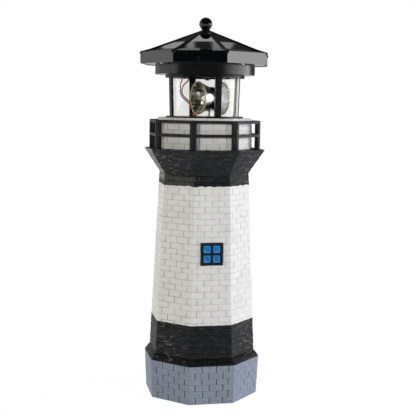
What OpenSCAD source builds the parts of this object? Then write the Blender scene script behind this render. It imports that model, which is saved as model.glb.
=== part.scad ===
// Garden lighthouse ornament: a hollow cast tower with a gallery, and a lift-off lantern
// head in which a pair of back-to-back reflectors is turned by a small geared motor.
// Millimetres, +Z up. The origin is the centre of the plinth's underside, and the wall
// with the window faces -Y.

/* [Tower] */
// Corner radius of the plinth at the ground
plinth_bottom_r = 55.6; // [54:0.1:58]
// Corner radius of the plinth at its top
plinth_top_r = 57.3; // [55:0.1:60]
// Height of the plinth
plinth_h = 36.5; // [30:0.5:45]
// Height of the sloped skirt above the plinth
skirt_h = 6.5; // [4:0.5:10]
// Corner radius of the tower above the skirt
tower_bottom_r = 52.3; // [50:0.1:54]
// Corner radius of the tower under the flare
tower_top_r = 44.1; // [42:0.1:48]
// Height of the tapered tower
tower_h = 171; // [140:1:200]
// Height of the flare under the deck
flare_h = 21.5; // [16:0.5:28]
// Corner radius of the deck
deck_r = 58.9; // [57:0.1:62]
// Thickness of the deck's edge
deck_h = 1; // [0.6:0.1:3]
// Corner radius of the drum on the deck
drum_r = 46.3; // [44:0.1:48]
// Height of the drum
drum_h = 29.2; // [26:0.2:34]
// Least wall of the hollow casting
casting_wall = 4.5; // [3:0.1:6]

/* [Brickwork] */
// Height of one course of bricks
course_h = 5.75; // [4.5:0.05:8]
// Height of a mortar joint
mortar_w = 0.7; // [0.4:0.1:1.2]
// Depth of a mortar joint
mortar_depth = 0.6; // [0.3:0.1:1]

/* [Window] */
// Width and height of the window frame
window_size = 21.2; // [16:0.1:24]
// Height of the window's middle
window_z = 140.7; // [110:0.1:170]
// Width of the frame's bars
frame_w = 2.8; // [1.5:0.1:3.5]
// Width of the bars between the panes
muntin_w = 2.3; // [1.5:0.1:3]
// How far the frame stands out of the wall
frame_relief = 1.6; // [0.8:0.1:2.4]
// How far the middle of a pane stands out of the wall
pane_relief = 1.2; // [0.4:0.1:1.5]

/* [Gallery] */
// Corner radius of the railing
rail_r = 54.2; // [53:0.1:56]
// Depth of the rails, inwards
rail_depth = 3.6; // [2:0.1:4.5]
// Height of each rail
rail_h = 2.85; // [2:0.05:4]
// Height of the railing above the deck
railing_h = 27.2; // [24:0.1:32]
// Height of the middle rail's underside above the deck
mid_rail_z = 11.9; // [8:0.1:16]
// Width of a railing post across its corner
rail_post_w = 6; // [4:0.1:9]

/* [Lantern] */
// Turn of the whole head on the tower, in degrees
head_turn = 6.7; // [-45:0.1:45]
// Turn of the posts against the roof's corners, in degrees
post_turn = 3.4; // [-10:0.1:10]
// Radius of the flange that rests on the drum
flange_r = 36.8; // [36:0.1:40]
// Thickness of the lantern's floor and flange
floor_t = 1.4; // [1:0.1:2]
// Height from the floor to the battery housing
lantern_h = 38.9; // [37:0.1:46]
// Outer radius of the clear cylinder at the floor
glass_bottom_r = 32; // [31.5:0.1:32.5]
// Outer radius of the clear cylinder at its top
glass_top_r = 33.2; // [32.6:0.1:33.6]
// Wall of the clear cylinder
glass_wall = 1.5; // [1:0.1:2]
// Thickness of the rubber ring on top of the clear cylinder
seal_t = 0.8; // [0.5:0.1:1.5]
// Width of a lantern post
post_w = 6.3; // [4:0.1:8]
// Thickness of a lantern post
post_t = 2; // [1.5:0.1:2.5]
// Outer radius of the ring on top of the posts
ring_r = 37.6; // [37:0.1:39]
// Height of the ring on top of the posts
ring_h = 3; // [2:0.1:4]
// Outer radius of the plug that sits in the drum
plug_r = 31.4; // [31:0.1:32]
// Depth of the plug below the flange
plug_h = 20; // [19:0.1:22]
// Wall of the plug
plug_wall = 1.8; // [1.4:0.1:2]

/* [Battery housing] */
// Outer radius of the round housing under the roof
collar_r = 47.3; // [46:0.1:49]
// Height of the housing below the roof's plate
collar_h = 10; // [8:0.1:13]
// Wall of the housing
housing_wall = 1.6; // [1.2:0.1:2]
// Radius of the rechargeable cell
cell_r = 7.25; // [7:0.05:7.25]
// Length of the rechargeable cell
cell_l = 50; // [44:0.5:50]
// Width of the switch's knob
knob_w = 2.6; // [2:0.1:3]
// Travel of the switch's knob
knob_travel = 2.4; // [1.5:0.1:3]

/* [Roof] */
// Corner radius of the eave
eave_r = 63.5; // [62:0.1:66]
// Height of the fascia round the eave
fascia_h = 10.5; // [8:0.1:14]
// How far the fascia hangs below the roof's plate
fascia_drop = 0.5; // [0:0.1:2]
// Corner radius where the flared eave meets the panel band
panel_low_r = 54; // [52:0.5:57]
// Rise of the flared eave
eave_rise = 2.4; // [1:0.1:5]
// Corner radius at the top of the panel band
panel_high_r = 35; // [30:0.5:40]
// Rise of the panel band
panel_rise = 7.1; // [5:0.1:9]
// Rise of the plain top of the roof
top_rise = 12.3; // [9:0.1:15]
// Wall of the roof
roof_wall = 2; // [1.6:0.1:2.5]
// Width of the rib along each hip
hip_w = 2.6; // [1.5:0.1:4]
// Height of the rib along each hip
hip_h = 0.8; // [0.4:0.1:1.5]
// Thickness of a solar cell
solar_t = 0.7; // [0.4:0.1:0.8]
// Radius of the ball on the roof
ball_r = 6.2; // [5:0.1:8]
// Radius of the neck under the ball
neck_r = 3.9; // [3:0.1:4.5]

/* [Rotor] */
// Distance of the rotor's axis from the middle of the lantern
rotor_offset = 4.8; // [3.5:0.1:6]
// Direction of that offset in the head, in degrees
rotor_offset_turn = -18; // [-30:1:-6]
// Direction the first reflector faces in the head at rest, in degrees
reflector_turn = 190; // [0:1:360]
// Height of the reflectors' axis above the lantern's floor
reflector_z = 17.2; // [17:0.1:18]
// Radius of a reflector's rim
rim_r = 15.8; // [14:0.1:16]
// Distance of a rim from the rotor's axis
rim_reach = 13.4; // [12:0.1:14]
// Radius of the hub between the reflectors
hub_r = 10.8; // [10:0.1:11.4]
// Width of the hub between the reflectors
hub_w = 7; // [6:0.1:9]
// Wall of a reflector
reflector_wall = 1; // [0.8:0.1:1.4]
// Radius of the rotor's shaft
shaft_r = 1.5; // [1.2:0.05:1.8]
// Radius of a light-emitting diode
led_r = 2.5; // [1.5:0.1:2.5]

/* [Drive] */
// Size of the gear teeth, pitch diameter over tooth count
gear_module = 0.6; // [0.5:0.01:0.62]
// Teeth of the rotor's gear
rotor_teeth = 36; // [30:1:38]
// Teeth of the idler's large gear
idler_big_teeth = 32; // [24:1:34]
// Teeth of the idler's small gear and of the motor's pinion
small_teeth = 10; // [10:1:12]
// Face width of the gears
gear_face = 2.2; // [1.5:0.1:2.4]
// Thickness of the plate that carries the drive
plate_t = 1.2; // [1:0.1:1.6]
// Radius of the plate that carries the drive
plate_r = 23.2; // [22:0.1:23.6]
// Height of the gear space between the plate and the floor
gear_space = 8; // [7.6:0.1:9]
// Radius of the motor's can
motor_r = 8; // [6:0.1:8.2]
// Height of the motor's can
motor_h = 9.5; // [7:0.1:10]
// Radius of the slip ring
slip_r = 3; // [2.5:0.1:3.2]

/* [Fits] */
// Radial gap between the plug and its socket
socket_gap = 0.4; // [0.3:0.05:1]
// Radial gap of a shaft in its bearing
running_gap = 0.05; // [0.02:0.01:0.1]
// Gap between pieces that are fixed to each other
seat_gap = 0.05; // [0.02:0.01:0.2]
// Gap beside pieces that move past each other
side_gap = 0.3; // [0.2:0.05:0.5]

/* [Hidden] */
FLAT = cos(22.5);              // flat distance of an octagon over its corner radius
cone_fn = 96;
eps = 0.01;

// Heights of the tower
shaft_z = plinth_h + skirt_h;
flare_z = shaft_z + tower_h;
deck_z = flare_z + flare_h + deck_h;
drum_z = deck_z + drum_h;
tower_courses = round((flare_z + flare_h - plinth_h) / course_h);
tower_course_h = (flare_z + flare_h - plinth_h) / tower_courses;
plinth_courses = round(plinth_h / course_h);
plinth_course_h = plinth_h / plinth_courses;
drum_courses = round(drum_h / course_h);
drum_course_h = drum_h / drum_courses;

// Heights of the head
floor_z = drum_z + floor_t;
housing_z = floor_z + lantern_h;
ring_z = housing_z - ring_h;
plate_floor_z = housing_z + housing_wall;
soffit_z = housing_z + collar_h;
soffit_top_z = soffit_z + housing_wall;
fascia_z = soffit_z - fascia_drop;
eave_z = fascia_z + fascia_h;
neck_z = eave_z + eave_rise + panel_rise + top_rise;
ball_z = neck_z + ball_r - 0.2;

// The clear cylinder
glass_h = lantern_h - seal_t;
ring_bore_r = glass_top_r + side_gap;

// The socket and the plug
socket_r = plug_r + socket_gap;
plug_bore_r = plug_r - plug_wall;
cover_t = 1.6;
plug_z = drum_z - plug_h;
socket_z = plug_z - cover_t - 6;

// Cover of the drive
cover_boss_r = 2.4;
cover_boss_at = plug_bore_r - cover_boss_r + 0.2;
cover_boss_turns = [10, 115, 235];

// Fastener sizes
screw_r = 0.9;
screw_head_r = 1.8;
screw_head_h = 1.2;
pilot_r = screw_r + seat_gap;

// The drive, seen from above in the head's own frame
function polar(r, a) = [r * cos(a), r * sin(a)];
rotor_at = polar(rotor_offset, rotor_offset_turn);
idler_turn = 135;
motor_turn = 235;
function pitch_r(teeth) = gear_module * teeth / 2;
mesh_gap = 0.05;
idler_at = rotor_at + polar(pitch_r(rotor_teeth) + pitch_r(small_teeth) + mesh_gap, idler_turn);
motor_at = idler_at + polar(pitch_r(idler_big_teeth) + pitch_r(small_teeth) + mesh_gap, motor_turn);
gear_plate_z = drum_z - gear_space - plate_t;
gear_floor_z = gear_plate_z + plate_t;
low_gear_z = gear_floor_z + 0.5;
high_gear_z = low_gear_z + gear_face + 0.5;
plate_screw_at = plate_r - 2.7;
plate_screw_turns = [60, 160, 290];
plate_boss_r = 2.4;
idler_pin_r = 1;
motor_shaft_r = 1;
bush_wall = 1.4;
bush_flange = 1;
bush_flange_t = 0.6;

// The reflectors
reflector_axis_z = floor_z + reflector_z;
bell_over_hub = 0.9;
bowl_floor = hub_w / 2 + 1.2;
bowl_steps = 8;
rim_lip = 0.8;

// Leads inside the clear cylinder, from the ceiling to the floor, as [x, y, height over the floor]
grommet_r = 1.7;
grommet_sleeve_r = 1.1;
grommet_t = 0.6;
lead_r = 0.6;
lead_sides = 8;
lead_steps = 4;
red_route = [[-17.2, 18.2, 38.3], [-17.4, 18.3, 34.4], [-18.8, 17.8, 30.4], [-19.3, 17.4, 24.9],
    [-17.8, 18.4, 19.1], [-13, 20, 14.9], [-8, 21.6, 10.4], [-4.6, 23.1, 5.5], [-3.5, 23.6, 0.6]];
black_route = [[-9.5, 17.8, 38.3], [-10.8, 18.2, 34.4], [-15.3, 18.7, 29.9], [-17.1, 19, 25.5],
    [-16.3, 19.7, 20.4], [-11.8, 21.6, 16.3], [-6.6, 23.2, 11.9], [-2.2, 24.2, 6.1], [-1, 24.6, 0.6]];

// Battery housing
cell_y = -12.4;
cradle_t = 1.2;
cradle_l = cell_l + 7;
cradle_w = 2 * cell_r + 2 * cradle_t;
cradle_h = 8.5;
board_size = [26, 20, 1.2];
board_at = [2, 14];
board_post_h = 3;
board_post_r = 2;
board_screw_at = 10;
chip_size = [5, 4, 1.6];
chip_at = [-6, -7];
coil_size = [4, 3, 1.2];
coil_at = [2, 4];
small_can_r = 2;
small_can_h = 4;
small_can_at = [4, -5];
large_can_r = 2.4;
large_can_h = 5;
large_can_at = [-4, 6];
contact_t = 0.4;
contact_w = 8;
contact_h = 10;
contact_drop = 4;
spring_foot_r = 3.4;
spring_tip_r = 2;
cell_nub_r = 2.6;
cell_nub_l = 1;
switch_y = collar_r - housing_wall - 3.5;
switch_size = [9.6, 4.4, 4.2];
housing_screw_at = (ring_bore_r + ring_r) / 2;
roof_screw_at = (collar_r + eave_r * FLAT - roof_wall) / 2;
roof_boss_r = 2.8;
roof_pilot_h = 5;
knob_drop = 1.2;
knob_reach = 1.6;
short_screw_bite = 4;
long_screw_bite = 6;

// ---------- Shared shapes ----------

// An octagonal prism whose flats face along X and Y
module octagon(h, r) {
    rotate([0, 0, 22.5]) cylinder(h = h, r = r, $fn = 8);
}

// An octagonal form with its corners on X and Y, turned from a profile of [corner radius, height]
module turned_octagon(profile) {
    rotate_extrude($fn = 8) polygon(profile);
}

module in_head() {
    rotate([0, 0, head_turn]) children();
}

module at_polar(r, a) {
    rotate([0, 0, a]) translate([r, 0, 0]) children();
}

module at_flat(p, z) {
    translate([p[0], p[1], z]) children();
}

module rod(r, h) {
    cylinder(r = r, h = h, $fn = 48);
}

// A pan-head screw whose head rests on z = 0 and whose shank points down
module screw(shank) {
    translate([0, 0, -shank]) rod(screw_r, shank);
    rod(screw_head_r, screw_head_h);
}

function involute(base, t) =
    [base * (cos(t) + t * PI / 180 * sin(t)), base * (sin(t) - t * PI / 180 * cos(t))];

function turned(p, a) = [p[0] * cos(a) - p[1] * sin(a), p[0] * sin(a) + p[1] * cos(a)];

// Outline of an involute gear with a tooth centred on +X
pressure_angle = 25;
addendum = 0.85;
dedendum = 1.15;
backlash = 0.12;
flank_steps = 4;
function tooth(teeth) =
    let (pitch = pitch_r(teeth), base = pitch * cos(pressure_angle),
         tip = pitch + addendum * gear_module, root = pitch - dedendum * gear_module,
         t_pitch = tan(pressure_angle) * 180 / PI, t_tip = sqrt(pow(tip / base, 2) - 1) * 180 / PI,
         half = 90 / teeth - backlash / 2 / pitch * 180 / PI + t_pitch - pressure_angle)
    concat([turned([root, 0], -half)],
        [for (i = [0:flank_steps]) turned(involute(base, t_tip * i / flank_steps), -half)],
        [for (i = [flank_steps:-1:0])
            let (p = involute(base, t_tip * i / flank_steps)) turned([p[0], -p[1]], half)],
        [turned([root, 0], half)]);

module gear(teeth, face, bore) {
    difference() {
        linear_extrude(face)
            polygon([for (k = [0:teeth - 1], p = tooth(teeth)) turned(p, k * 360 / teeth)]);
        translate([0, 0, -eps]) rod(bore, face + 2 * eps);
    }
}

// Points of a smooth curve through a route, a few steps to each stretch
function curve_point(p, i, t) =
    let (n = len(p) - 1, a = p[max(i - 1, 0)], b = p[i], c = p[i + 1], d = p[min(i + 2, n)])
    (2 * b + (c - a) * t + (2 * a - 5 * b + 4 * c - d) * t * t + (3 * b - a - 3 * c + d) * t * t * t) / 2;
function curve(p) = concat([for (i = [0:len(p) - 2], s = [0:lead_steps - 1])
    curve_point(p, i, s / lead_steps)], [p[len(p) - 1]]);
function unit(v) = v / norm(v);

// A round lead swept along a route whose ends run straight up and down
module lead(route, r) {
    path = curve(route);
    n = len(path);
    foot = (n - 1) * lead_sides;
    rings = [for (i = [0:n - 1])
        let (along = i == 0 || i == n - 1 ? [0, 0, -1] : unit(path[i + 1] - path[i - 1]),
             side = unit(cross(along, [1, 0, 0])), up = cross(along, side))
        for (k = [0:lead_sides - 1])
            path[i] + r * (cos(k * 360 / lead_sides) * side + sin(k * 360 / lead_sides) * up)];
    walls = [for (i = [0:n - 2], k = [0:lead_sides - 1])
        let (a = i * lead_sides + k, b = i * lead_sides + (k + 1) % lead_sides)
        for (f = [[a, b, b + lead_sides], [a, b + lead_sides, a + lead_sides]]) f];
    ends = [for (k = [1:lead_sides - 2])
        for (f = [[0, k + 1, k], [foot, foot + k, foot + k + 1]]) f];
    polyhedron(points = rings, faces = concat(walls, ends));
}

// ---------- Tower ----------

// Corner radius of the tower's wall at a height, from the plinth's top to the deck
function wall_r(z) =
    z < shaft_z ? plinth_top_r + (tower_bottom_r - plinth_top_r) * (z - plinth_h) / skirt_h
    : z < flare_z ? tower_bottom_r + (tower_top_r - tower_bottom_r) * (z - shaft_z) / tower_h
    : tower_top_r + (deck_r - tower_top_r) * (z - flare_z) / flare_h;
function plinth_r(z) = plinth_bottom_r + (plinth_top_r - plinth_bottom_r) * z / plinth_h;

module tower_body() {
    rotate([0, 0, 22.5]) turned_octagon([[0, 0], [plinth_bottom_r, 0], [plinth_top_r, plinth_h],
        [tower_bottom_r, shaft_z], [tower_top_r, flare_z], [deck_r, flare_z + flare_h],
        [deck_r, deck_z], [drum_r, deck_z], [drum_r, drum_z], [0, drum_z]]);
}

// A groove round the wall for one bed of mortar
module bed_joint(z, r) {
    translate([0, 0, z - mortar_w / 2]) difference() {
        octagon(mortar_w, r + 2);
        translate([0, 0, -eps]) octagon(mortar_w + 2 * eps, r - mortar_depth);
    }
}

module bed_joints() {
    for (i = [1:plinth_courses - 1])
        bed_joint(i * plinth_course_h, plinth_r(i * plinth_course_h));
    for (i = [1:tower_courses - 1])
        bed_joint(plinth_h + i * tower_course_h, wall_r(plinth_h + i * tower_course_h));
    for (i = [1:drum_courses - 1])
        bed_joint(deck_z + i * drum_course_h, drum_r);
}

// The round hollow inside the casting, open underneath
cavity_bottom_r = plinth_bottom_r * FLAT - casting_wall;
cavity_low_r = tower_bottom_r * FLAT - casting_wall;
cavity_top_r = tower_top_r * FLAT - casting_wall;
cavity_top_z = socket_z - 7;
module cavity() {
    translate([0, 0, -eps]) cylinder(h = plinth_h, r = cavity_bottom_r, $fn = cone_fn);
    translate([0, 0, plinth_h - 2 * eps])
        cylinder(h = skirt_h + 2 * eps, r1 = cavity_bottom_r, r2 = cavity_low_r, $fn = cone_fn);
    translate([0, 0, shaft_z - eps])
        cylinder(h = tower_h, r1 = cavity_low_r, r2 = cavity_top_r, $fn = cone_fn);
    translate([0, 0, flare_z - 2 * eps])
        cylinder(h = cavity_top_z - flare_z, r = cavity_top_r, $fn = cone_fn);
}

// The window lies in the plane of the wall that faces -Y
wall_lean = atan((tower_bottom_r - tower_top_r) * FLAT / tower_h);
pane_size = (window_size - 2 * frame_w - muntin_w) / 2;
pane_at = (pane_size + muntin_w) / 2;
pane_dome_r = 14;
sink = 2;
module window() {
    translate([0, -wall_r(window_z) * FLAT, window_z]) rotate([90 - wall_lean, 0, 0]) {
        difference() {
            translate([-window_size / 2, -window_size / 2, -sink])
                cube([window_size, window_size, sink + frame_relief]);
            for (x = [-1, 1], y = [-1, 1])
                translate([x * pane_at, y * pane_at, frame_relief / 2])
                    cube([pane_size, pane_size, frame_relief + 2 * eps], center = true);
        }
        for (x = [-1, 1], y = [-1, 1])
            translate([x * pane_at, y * pane_at, 0])
                intersection() {
                    cube([pane_size, pane_size, 4 * pane_relief], center = true);
                    translate([0, 0, pane_relief - pane_dome_r]) sphere(r = pane_dome_r, $fn = cone_fn);
                }
    }
}

module tower_casting() {
    color("whitesmoke") union() {
        difference() {
            tower_body();
            bed_joints();
            cavity();
            translate([0, 0, socket_z]) cylinder(h = drum_z, r = socket_r, $fn = cone_fn);
        }
        window();
    }
}

module rail(z) {
    translate([0, 0, z]) difference() {
        octagon(rail_h, rail_r);
        translate([0, 0, -eps]) octagon(rail_h + 2 * eps, rail_r - rail_depth / FLAT);
    }
}

module gallery_railing() {
    color("black") union() {
        rail(deck_z + mid_rail_z);
        rail(deck_z + railing_h - rail_h);
        translate([0, 0, deck_z]) intersection() {
            difference() {
                octagon(railing_h, rail_r);
                translate([0, 0, -eps]) octagon(railing_h + 2 * eps, rail_r - rail_depth / FLAT);
            }
            for (k = [0:7]) rotate([0, 0, 22.5 + 45 * k])
                translate([rail_r - 2 * rail_depth, -rail_post_w / 2, 0])
                    cube([3 * rail_depth, rail_post_w, railing_h]);
        }
    }
}

// ---------- Lantern ----------

module cone_wall(h, r1, r2, wall) {
    difference() {
        cylinder(h = h, r1 = r1, r2 = r2, $fn = cone_fn);
        translate([0, 0, -eps])
            cylinder(h = h + 2 * eps, r1 = r1 - wall, r2 = r2 - wall, $fn = cone_fn);
    }
}

// Outer radius of the clear cylinder at a height above the floor
function glass_r(h) = glass_bottom_r + (glass_top_r - glass_bottom_r) * h / glass_h;

module lantern_posts() {
    tall = lantern_h - ring_h;
    out = side_gap + post_t;
    for (k = [0:3]) intersection() {
        translate([0, 0, floor_z - eps])
            cone_wall(tall + 2 * eps, glass_r(0) + out, glass_r(tall) + out, post_t);
        rotate([0, 0, post_turn + 90 * k])
            translate([20, -post_w / 2, floor_z - 1]) cube([30, post_w, lantern_h]);
    }
}

module floor_holes() {
    translate([0, 0, drum_z - 1]) {
        at_flat(rotor_at, 0) rod(shaft_r + running_gap + bush_wall + seat_gap, floor_t + 2);
        for (route = [red_route, black_route])
            at_flat(route[len(route) - 1], 0) rod(grommet_sleeve_r + seat_gap, floor_t + 2);
    }
}

module lantern_frame() {
    color("black") in_head() difference() {
        union() {
            translate([0, 0, drum_z]) cylinder(h = floor_t, r = flange_r, $fn = cone_fn);
            translate([0, 0, plug_z]) difference() {
                cylinder(h = plug_h + eps, r = plug_r, $fn = cone_fn);
                translate([0, 0, -eps]) cylinder(h = plug_h + eps, r = plug_bore_r, $fn = cone_fn);
            }
            lantern_posts();
            translate([0, 0, ring_z]) difference() {
                cylinder(h = ring_h, r = ring_r, $fn = cone_fn);
                translate([0, 0, -eps]) cylinder(h = ring_h + 2 * eps, r = ring_bore_r, $fn = cone_fn);
            }
            for (a = plate_screw_turns)
                translate([0, 0, gear_floor_z]) at_polar(plate_screw_at, a)
                    rod(plate_boss_r, gear_space + eps);
            for (a = cover_boss_turns)
                translate([0, 0, plug_z]) at_polar(cover_boss_at, a)
                    rod(cover_boss_r, plug_h + eps);
        }
        floor_holes();
        for (a = plate_screw_turns)
            translate([0, 0, gear_floor_z - eps]) at_polar(plate_screw_at, a)
                rod(pilot_r, gear_space - 2);
        for (a = cover_boss_turns)
            translate([0, 0, plug_z - eps]) at_polar(cover_boss_at, a)
                rod(pilot_r, long_screw_bite + 2);
        for (k = [0:3])
            translate([0, 0, ring_z + 0.5]) at_polar(housing_screw_at, post_turn + 45 + 90 * k)
                rod(pilot_r, ring_h);
    }
}

module lantern_glass() {
    color("lightcyan", 0.3) in_head() translate([0, 0, floor_z])
        cone_wall(glass_h, glass_bottom_r, glass_top_r, glass_wall);
}

module glass_seal() {
    color("dimgray") in_head() translate([0, 0, housing_z - seal_t])
        cone_wall(seal_t, glass_top_r, glass_top_r, glass_wall);
}

// ---------- Battery housing ----------

module battery_housing() {
    switch_slot = knob_w + knob_travel + 2 * side_gap;
    color("black") in_head() difference() {
        union() {
            translate([0, 0, housing_z]) cylinder(h = housing_wall, r = collar_r, $fn = cone_fn);
            translate([0, 0, housing_z]) difference() {
                cylinder(h = collar_h + housing_wall, r = collar_r, $fn = cone_fn);
                translate([0, 0, -eps])
                    cylinder(h = collar_h + housing_wall + 1, r = collar_r - housing_wall, $fn = cone_fn);
            }
            translate([0, 0, soffit_z]) difference() {
                cylinder(h = housing_wall, r = eave_r - (roof_wall + side_gap) / FLAT, $fn = 8);
                translate([0, 0, -eps])
                    cylinder(h = housing_wall + 2 * eps, r = collar_r - housing_wall / 2, $fn = cone_fn);
            }
            for (s = [-1, 1])
                translate([board_at[0] + s * board_screw_at, board_at[1], plate_floor_z - eps])
                    rod(board_post_r, board_post_h + eps);
            at_flat(rotor_at / 2, ring_z - 2) rod(2.3, housing_z - ring_z + 2 + eps);
        }
        for (k = [0:3]) {
            translate([0, 0, housing_z - eps]) at_polar(housing_screw_at, post_turn + 45 + 90 * k)
                rod(pilot_r, housing_wall + 2 * eps);
            translate([0, 0, soffit_z - eps]) at_polar(roof_screw_at, 22.5 + 90 * k)
                rod(pilot_r, housing_wall + 2 * eps);
        }
        for (s = [-1, 1])
            translate([board_at[0] + s * board_screw_at, board_at[1], plate_floor_z])
                rod(pilot_r, board_post_h + 1);
        for (route = [red_route, black_route])
            at_flat(route[0], housing_z - eps)
                rod(grommet_sleeve_r + seat_gap, housing_wall + 2 * eps);
        translate([-switch_slot / 2, switch_y - knob_w / 2 - side_gap, housing_z - eps])
            cube([switch_slot, knob_w + 2 * side_gap, housing_wall + 2 * eps]);
    }
}

module battery_cradle() {
    color("dimgray") in_head() translate([0, cell_y, plate_floor_z]) difference() {
        translate([-cradle_l / 2, -cradle_w / 2, 0]) cube([cradle_l, cradle_w, cradle_h]);
        translate([-cradle_l / 2 + cradle_t, 0, cradle_t + cell_r + seat_gap]) rotate([0, 90, 0])
            rod(cell_r + seat_gap, cradle_l - 2 * cradle_t);
        translate([-cradle_l / 2 + cradle_t, -cell_r - seat_gap, cradle_t + cell_r])
            cube([cradle_l - 2 * cradle_t, 2 * (cell_r + seat_gap), cradle_h]);
    }
}

module battery_cell() {
    color("green") in_head() translate([-cell_l / 2, cell_y, plate_floor_z + cradle_t + cell_r + seat_gap])
        rotate([0, 90, 0]) union() {
            rod(cell_r, cell_l - cell_nub_l);
            translate([0, 0, cell_l - cell_nub_l - eps]) rod(cell_nub_r, cell_nub_l + eps);
        }
}

// A leaf with a tapered spring at each end of the cell, the spring drawn as a solid cone
module battery_contacts() {
    reach = cradle_l / 2 - cradle_t - cell_l / 2;
    color("silver") in_head() for (s = [-1, 1])
        translate([s * (cradle_l / 2 - cradle_t - contact_t / 2), cell_y,
                plate_floor_z + cradle_t + cell_r + seat_gap]) {
            translate([-contact_t / 2, -contact_w / 2, -contact_drop])
                cube([contact_t, contact_w, contact_h]);
            rotate([0, -s * 90, 0]) cylinder(h = reach - contact_t / 2 - 2 * seat_gap,
                r1 = spring_foot_r, r2 = spring_tip_r, $fn = 32);
        }
}

module circuit_board() {
    color("darkgreen") in_head() translate([board_at[0], board_at[1], plate_floor_z + board_post_h])
        difference() {
            union() {
                translate([-board_size[0] / 2, -board_size[1] / 2, 0]) cube(board_size);
                at_flat(chip_at, board_size[2] - eps) cube(chip_size);
                at_flat(coil_at, board_size[2] - eps) cube(coil_size);
                at_flat(small_can_at, board_size[2] - eps) rod(small_can_r, small_can_h);
                at_flat(large_can_at, board_size[2] - eps) rod(large_can_r, large_can_h);
            }
            for (s = [-1, 1])
                translate([s * board_screw_at, 0, -eps]) rod(pilot_r, board_size[2] + 2 * eps);
        }
}

module board_screws() {
    color("silver") in_head() for (s = [-1, 1])
        translate([board_at[0] + s * board_screw_at, board_at[1],
                plate_floor_z + board_post_h + board_size[2]])
            screw(board_size[2] + board_post_h - 0.5);
}

module switch_body() {
    pocket = knob_w + knob_travel + 2 * side_gap;
    color("dimgray") in_head() translate([0, switch_y, plate_floor_z]) difference() {
        translate([-switch_size[0] / 2, -switch_size[1] / 2, 0]) cube(switch_size);
        translate([-pocket / 2, -knob_w / 2 - side_gap, -eps]) cube([pocket, knob_w + 2 * side_gap, 2]);
    }
}

module switch_knob() {
    color("white") in_head()
        translate([-(knob_w + knob_travel) / 2, switch_y - knob_w / 2, housing_z - knob_drop]) {
            cube([knob_w, knob_w, knob_drop + housing_wall + knob_reach]);
        }
}

module housing_screws() {
    color("silver") in_head() for (k = [0:3])
        translate([0, 0, plate_floor_z]) at_polar(housing_screw_at, post_turn + 45 + 90 * k)
            screw(housing_wall + ring_h - 1);
}

module wire_grommets() {
    color("dimgray") in_head() for (route = [red_route, black_route]) {
        at_flat(route[0], housing_z - grommet_t) union() {
            rod(grommet_r, grommet_t);
            rod(grommet_sleeve_r, grommet_t + housing_wall);
        }
        at_flat(route[len(route) - 1], drum_z) union() {
            rod(grommet_sleeve_r, floor_t + grommet_t);
            translate([0, 0, floor_t]) rod(grommet_r, grommet_t);
        }
    }
}

// A lead whose ends meet its two grommets face to face
module lead_between_grommets(route) {
    n = len(route) - 1;
    seated = [for (i = [0:n])
        let (height = i == 0 ? lantern_h - grommet_t : i == n ? grommet_t : route[i][2])
        [route[i][0], route[i][1], height]];
    in_head() translate([0, 0, floor_z]) lead(seated, lead_r);
}

module red_lead() {
    color("red") lead_between_grommets(red_route);
}

module black_lead() {
    color("black") lead_between_grommets(black_route);
}

// ---------- Roof ----------

// The roof's outer form, or its inner one with the wall taken off
module roof_form(wall) {
    side = wall / FLAT;
    drop = wall * 1.1;
    foot = fascia_z - (wall > 0 ? 1 : 0);
    top = neck_z - drop;
    turned_octagon([[0, foot], [eave_r - side, foot], [eave_r - side, eave_z - drop],
        [panel_low_r - side, eave_z + eave_rise - drop],
        [panel_high_r - side, eave_z + eave_rise + panel_rise - drop], [neck_r, top], [0, top]]);
}

// One rib lies along each hip, over the edge between two facets
module hip_rib() {
    rotate([90, 0, 0]) translate([0, 0, -hip_w / 2]) linear_extrude(hip_w)
        polygon([[neck_r - 1, neck_z - 2], [panel_high_r - 2, eave_z + eave_rise + panel_rise - 2],
            [panel_low_r - 2, eave_z + eave_rise - 2], [eave_r - 2, eave_z - 2],
            [eave_r + 0.3, eave_z - 2], [eave_r + 0.3, eave_z + hip_h / 2],
            [panel_low_r, eave_z + eave_rise + hip_h],
            [panel_high_r, eave_z + eave_rise + panel_rise + hip_h],
            [neck_r - 1, neck_z + hip_h * 0.6]]);
}

panel_slope = atan(panel_rise / ((panel_low_r - panel_high_r) * FLAT));
panel_len = norm([panel_rise, (panel_low_r - panel_high_r) * FLAT]);
panel_margin = 1.2;

// A solid slab in the plane of one facet's panel band, from z = -depth to z = 0
module panel_slab(margin, depth) {
    low = panel_low_r * sin(22.5) - hip_w / 2 - margin;
    high = panel_high_r * sin(22.5) - hip_w / 2 - margin;
    rotate([0, 0, 22.5]) translate([panel_low_r * FLAT, 0, eave_z + eave_rise])
        rotate([0, panel_slope, 0]) translate([0, 0, -depth]) linear_extrude(depth)
            polygon([[-margin, -low], [-margin, low],
                [margin - panel_len, high], [margin - panel_len, -high]]);
}

module roof_shell() {
    color("black") in_head() union() {
        difference() {
            union() {
                roof_form(0);
                for (k = [0:7]) rotate([0, 0, 45 * k]) hip_rib();
            }
            roof_form(roof_wall);
            for (k = [0:7]) rotate([0, 0, 45 * k]) translate([0, 0, eps])
                panel_slab(panel_margin, solar_t + eps);
        }
        translate([0, 0, neck_z - 3]) rod(neck_r, 4);
        translate([0, 0, ball_z]) sphere(r = ball_r, $fn = cone_fn);
        for (k = [0:3]) translate([0, 0, soffit_top_z]) at_polar(roof_screw_at, 22.5 + 90 * k)
            difference() {
                rod(roof_boss_r, eave_z - soffit_top_z);
                translate([0, 0, -eps]) rod(pilot_r, roof_pilot_h);
            }
    }
}

module solar_cells() {
    color("midnightblue") in_head() for (k = [0:7]) rotate([0, 0, 45 * k])
        panel_slab(panel_margin + seat_gap, solar_t);
}

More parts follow.
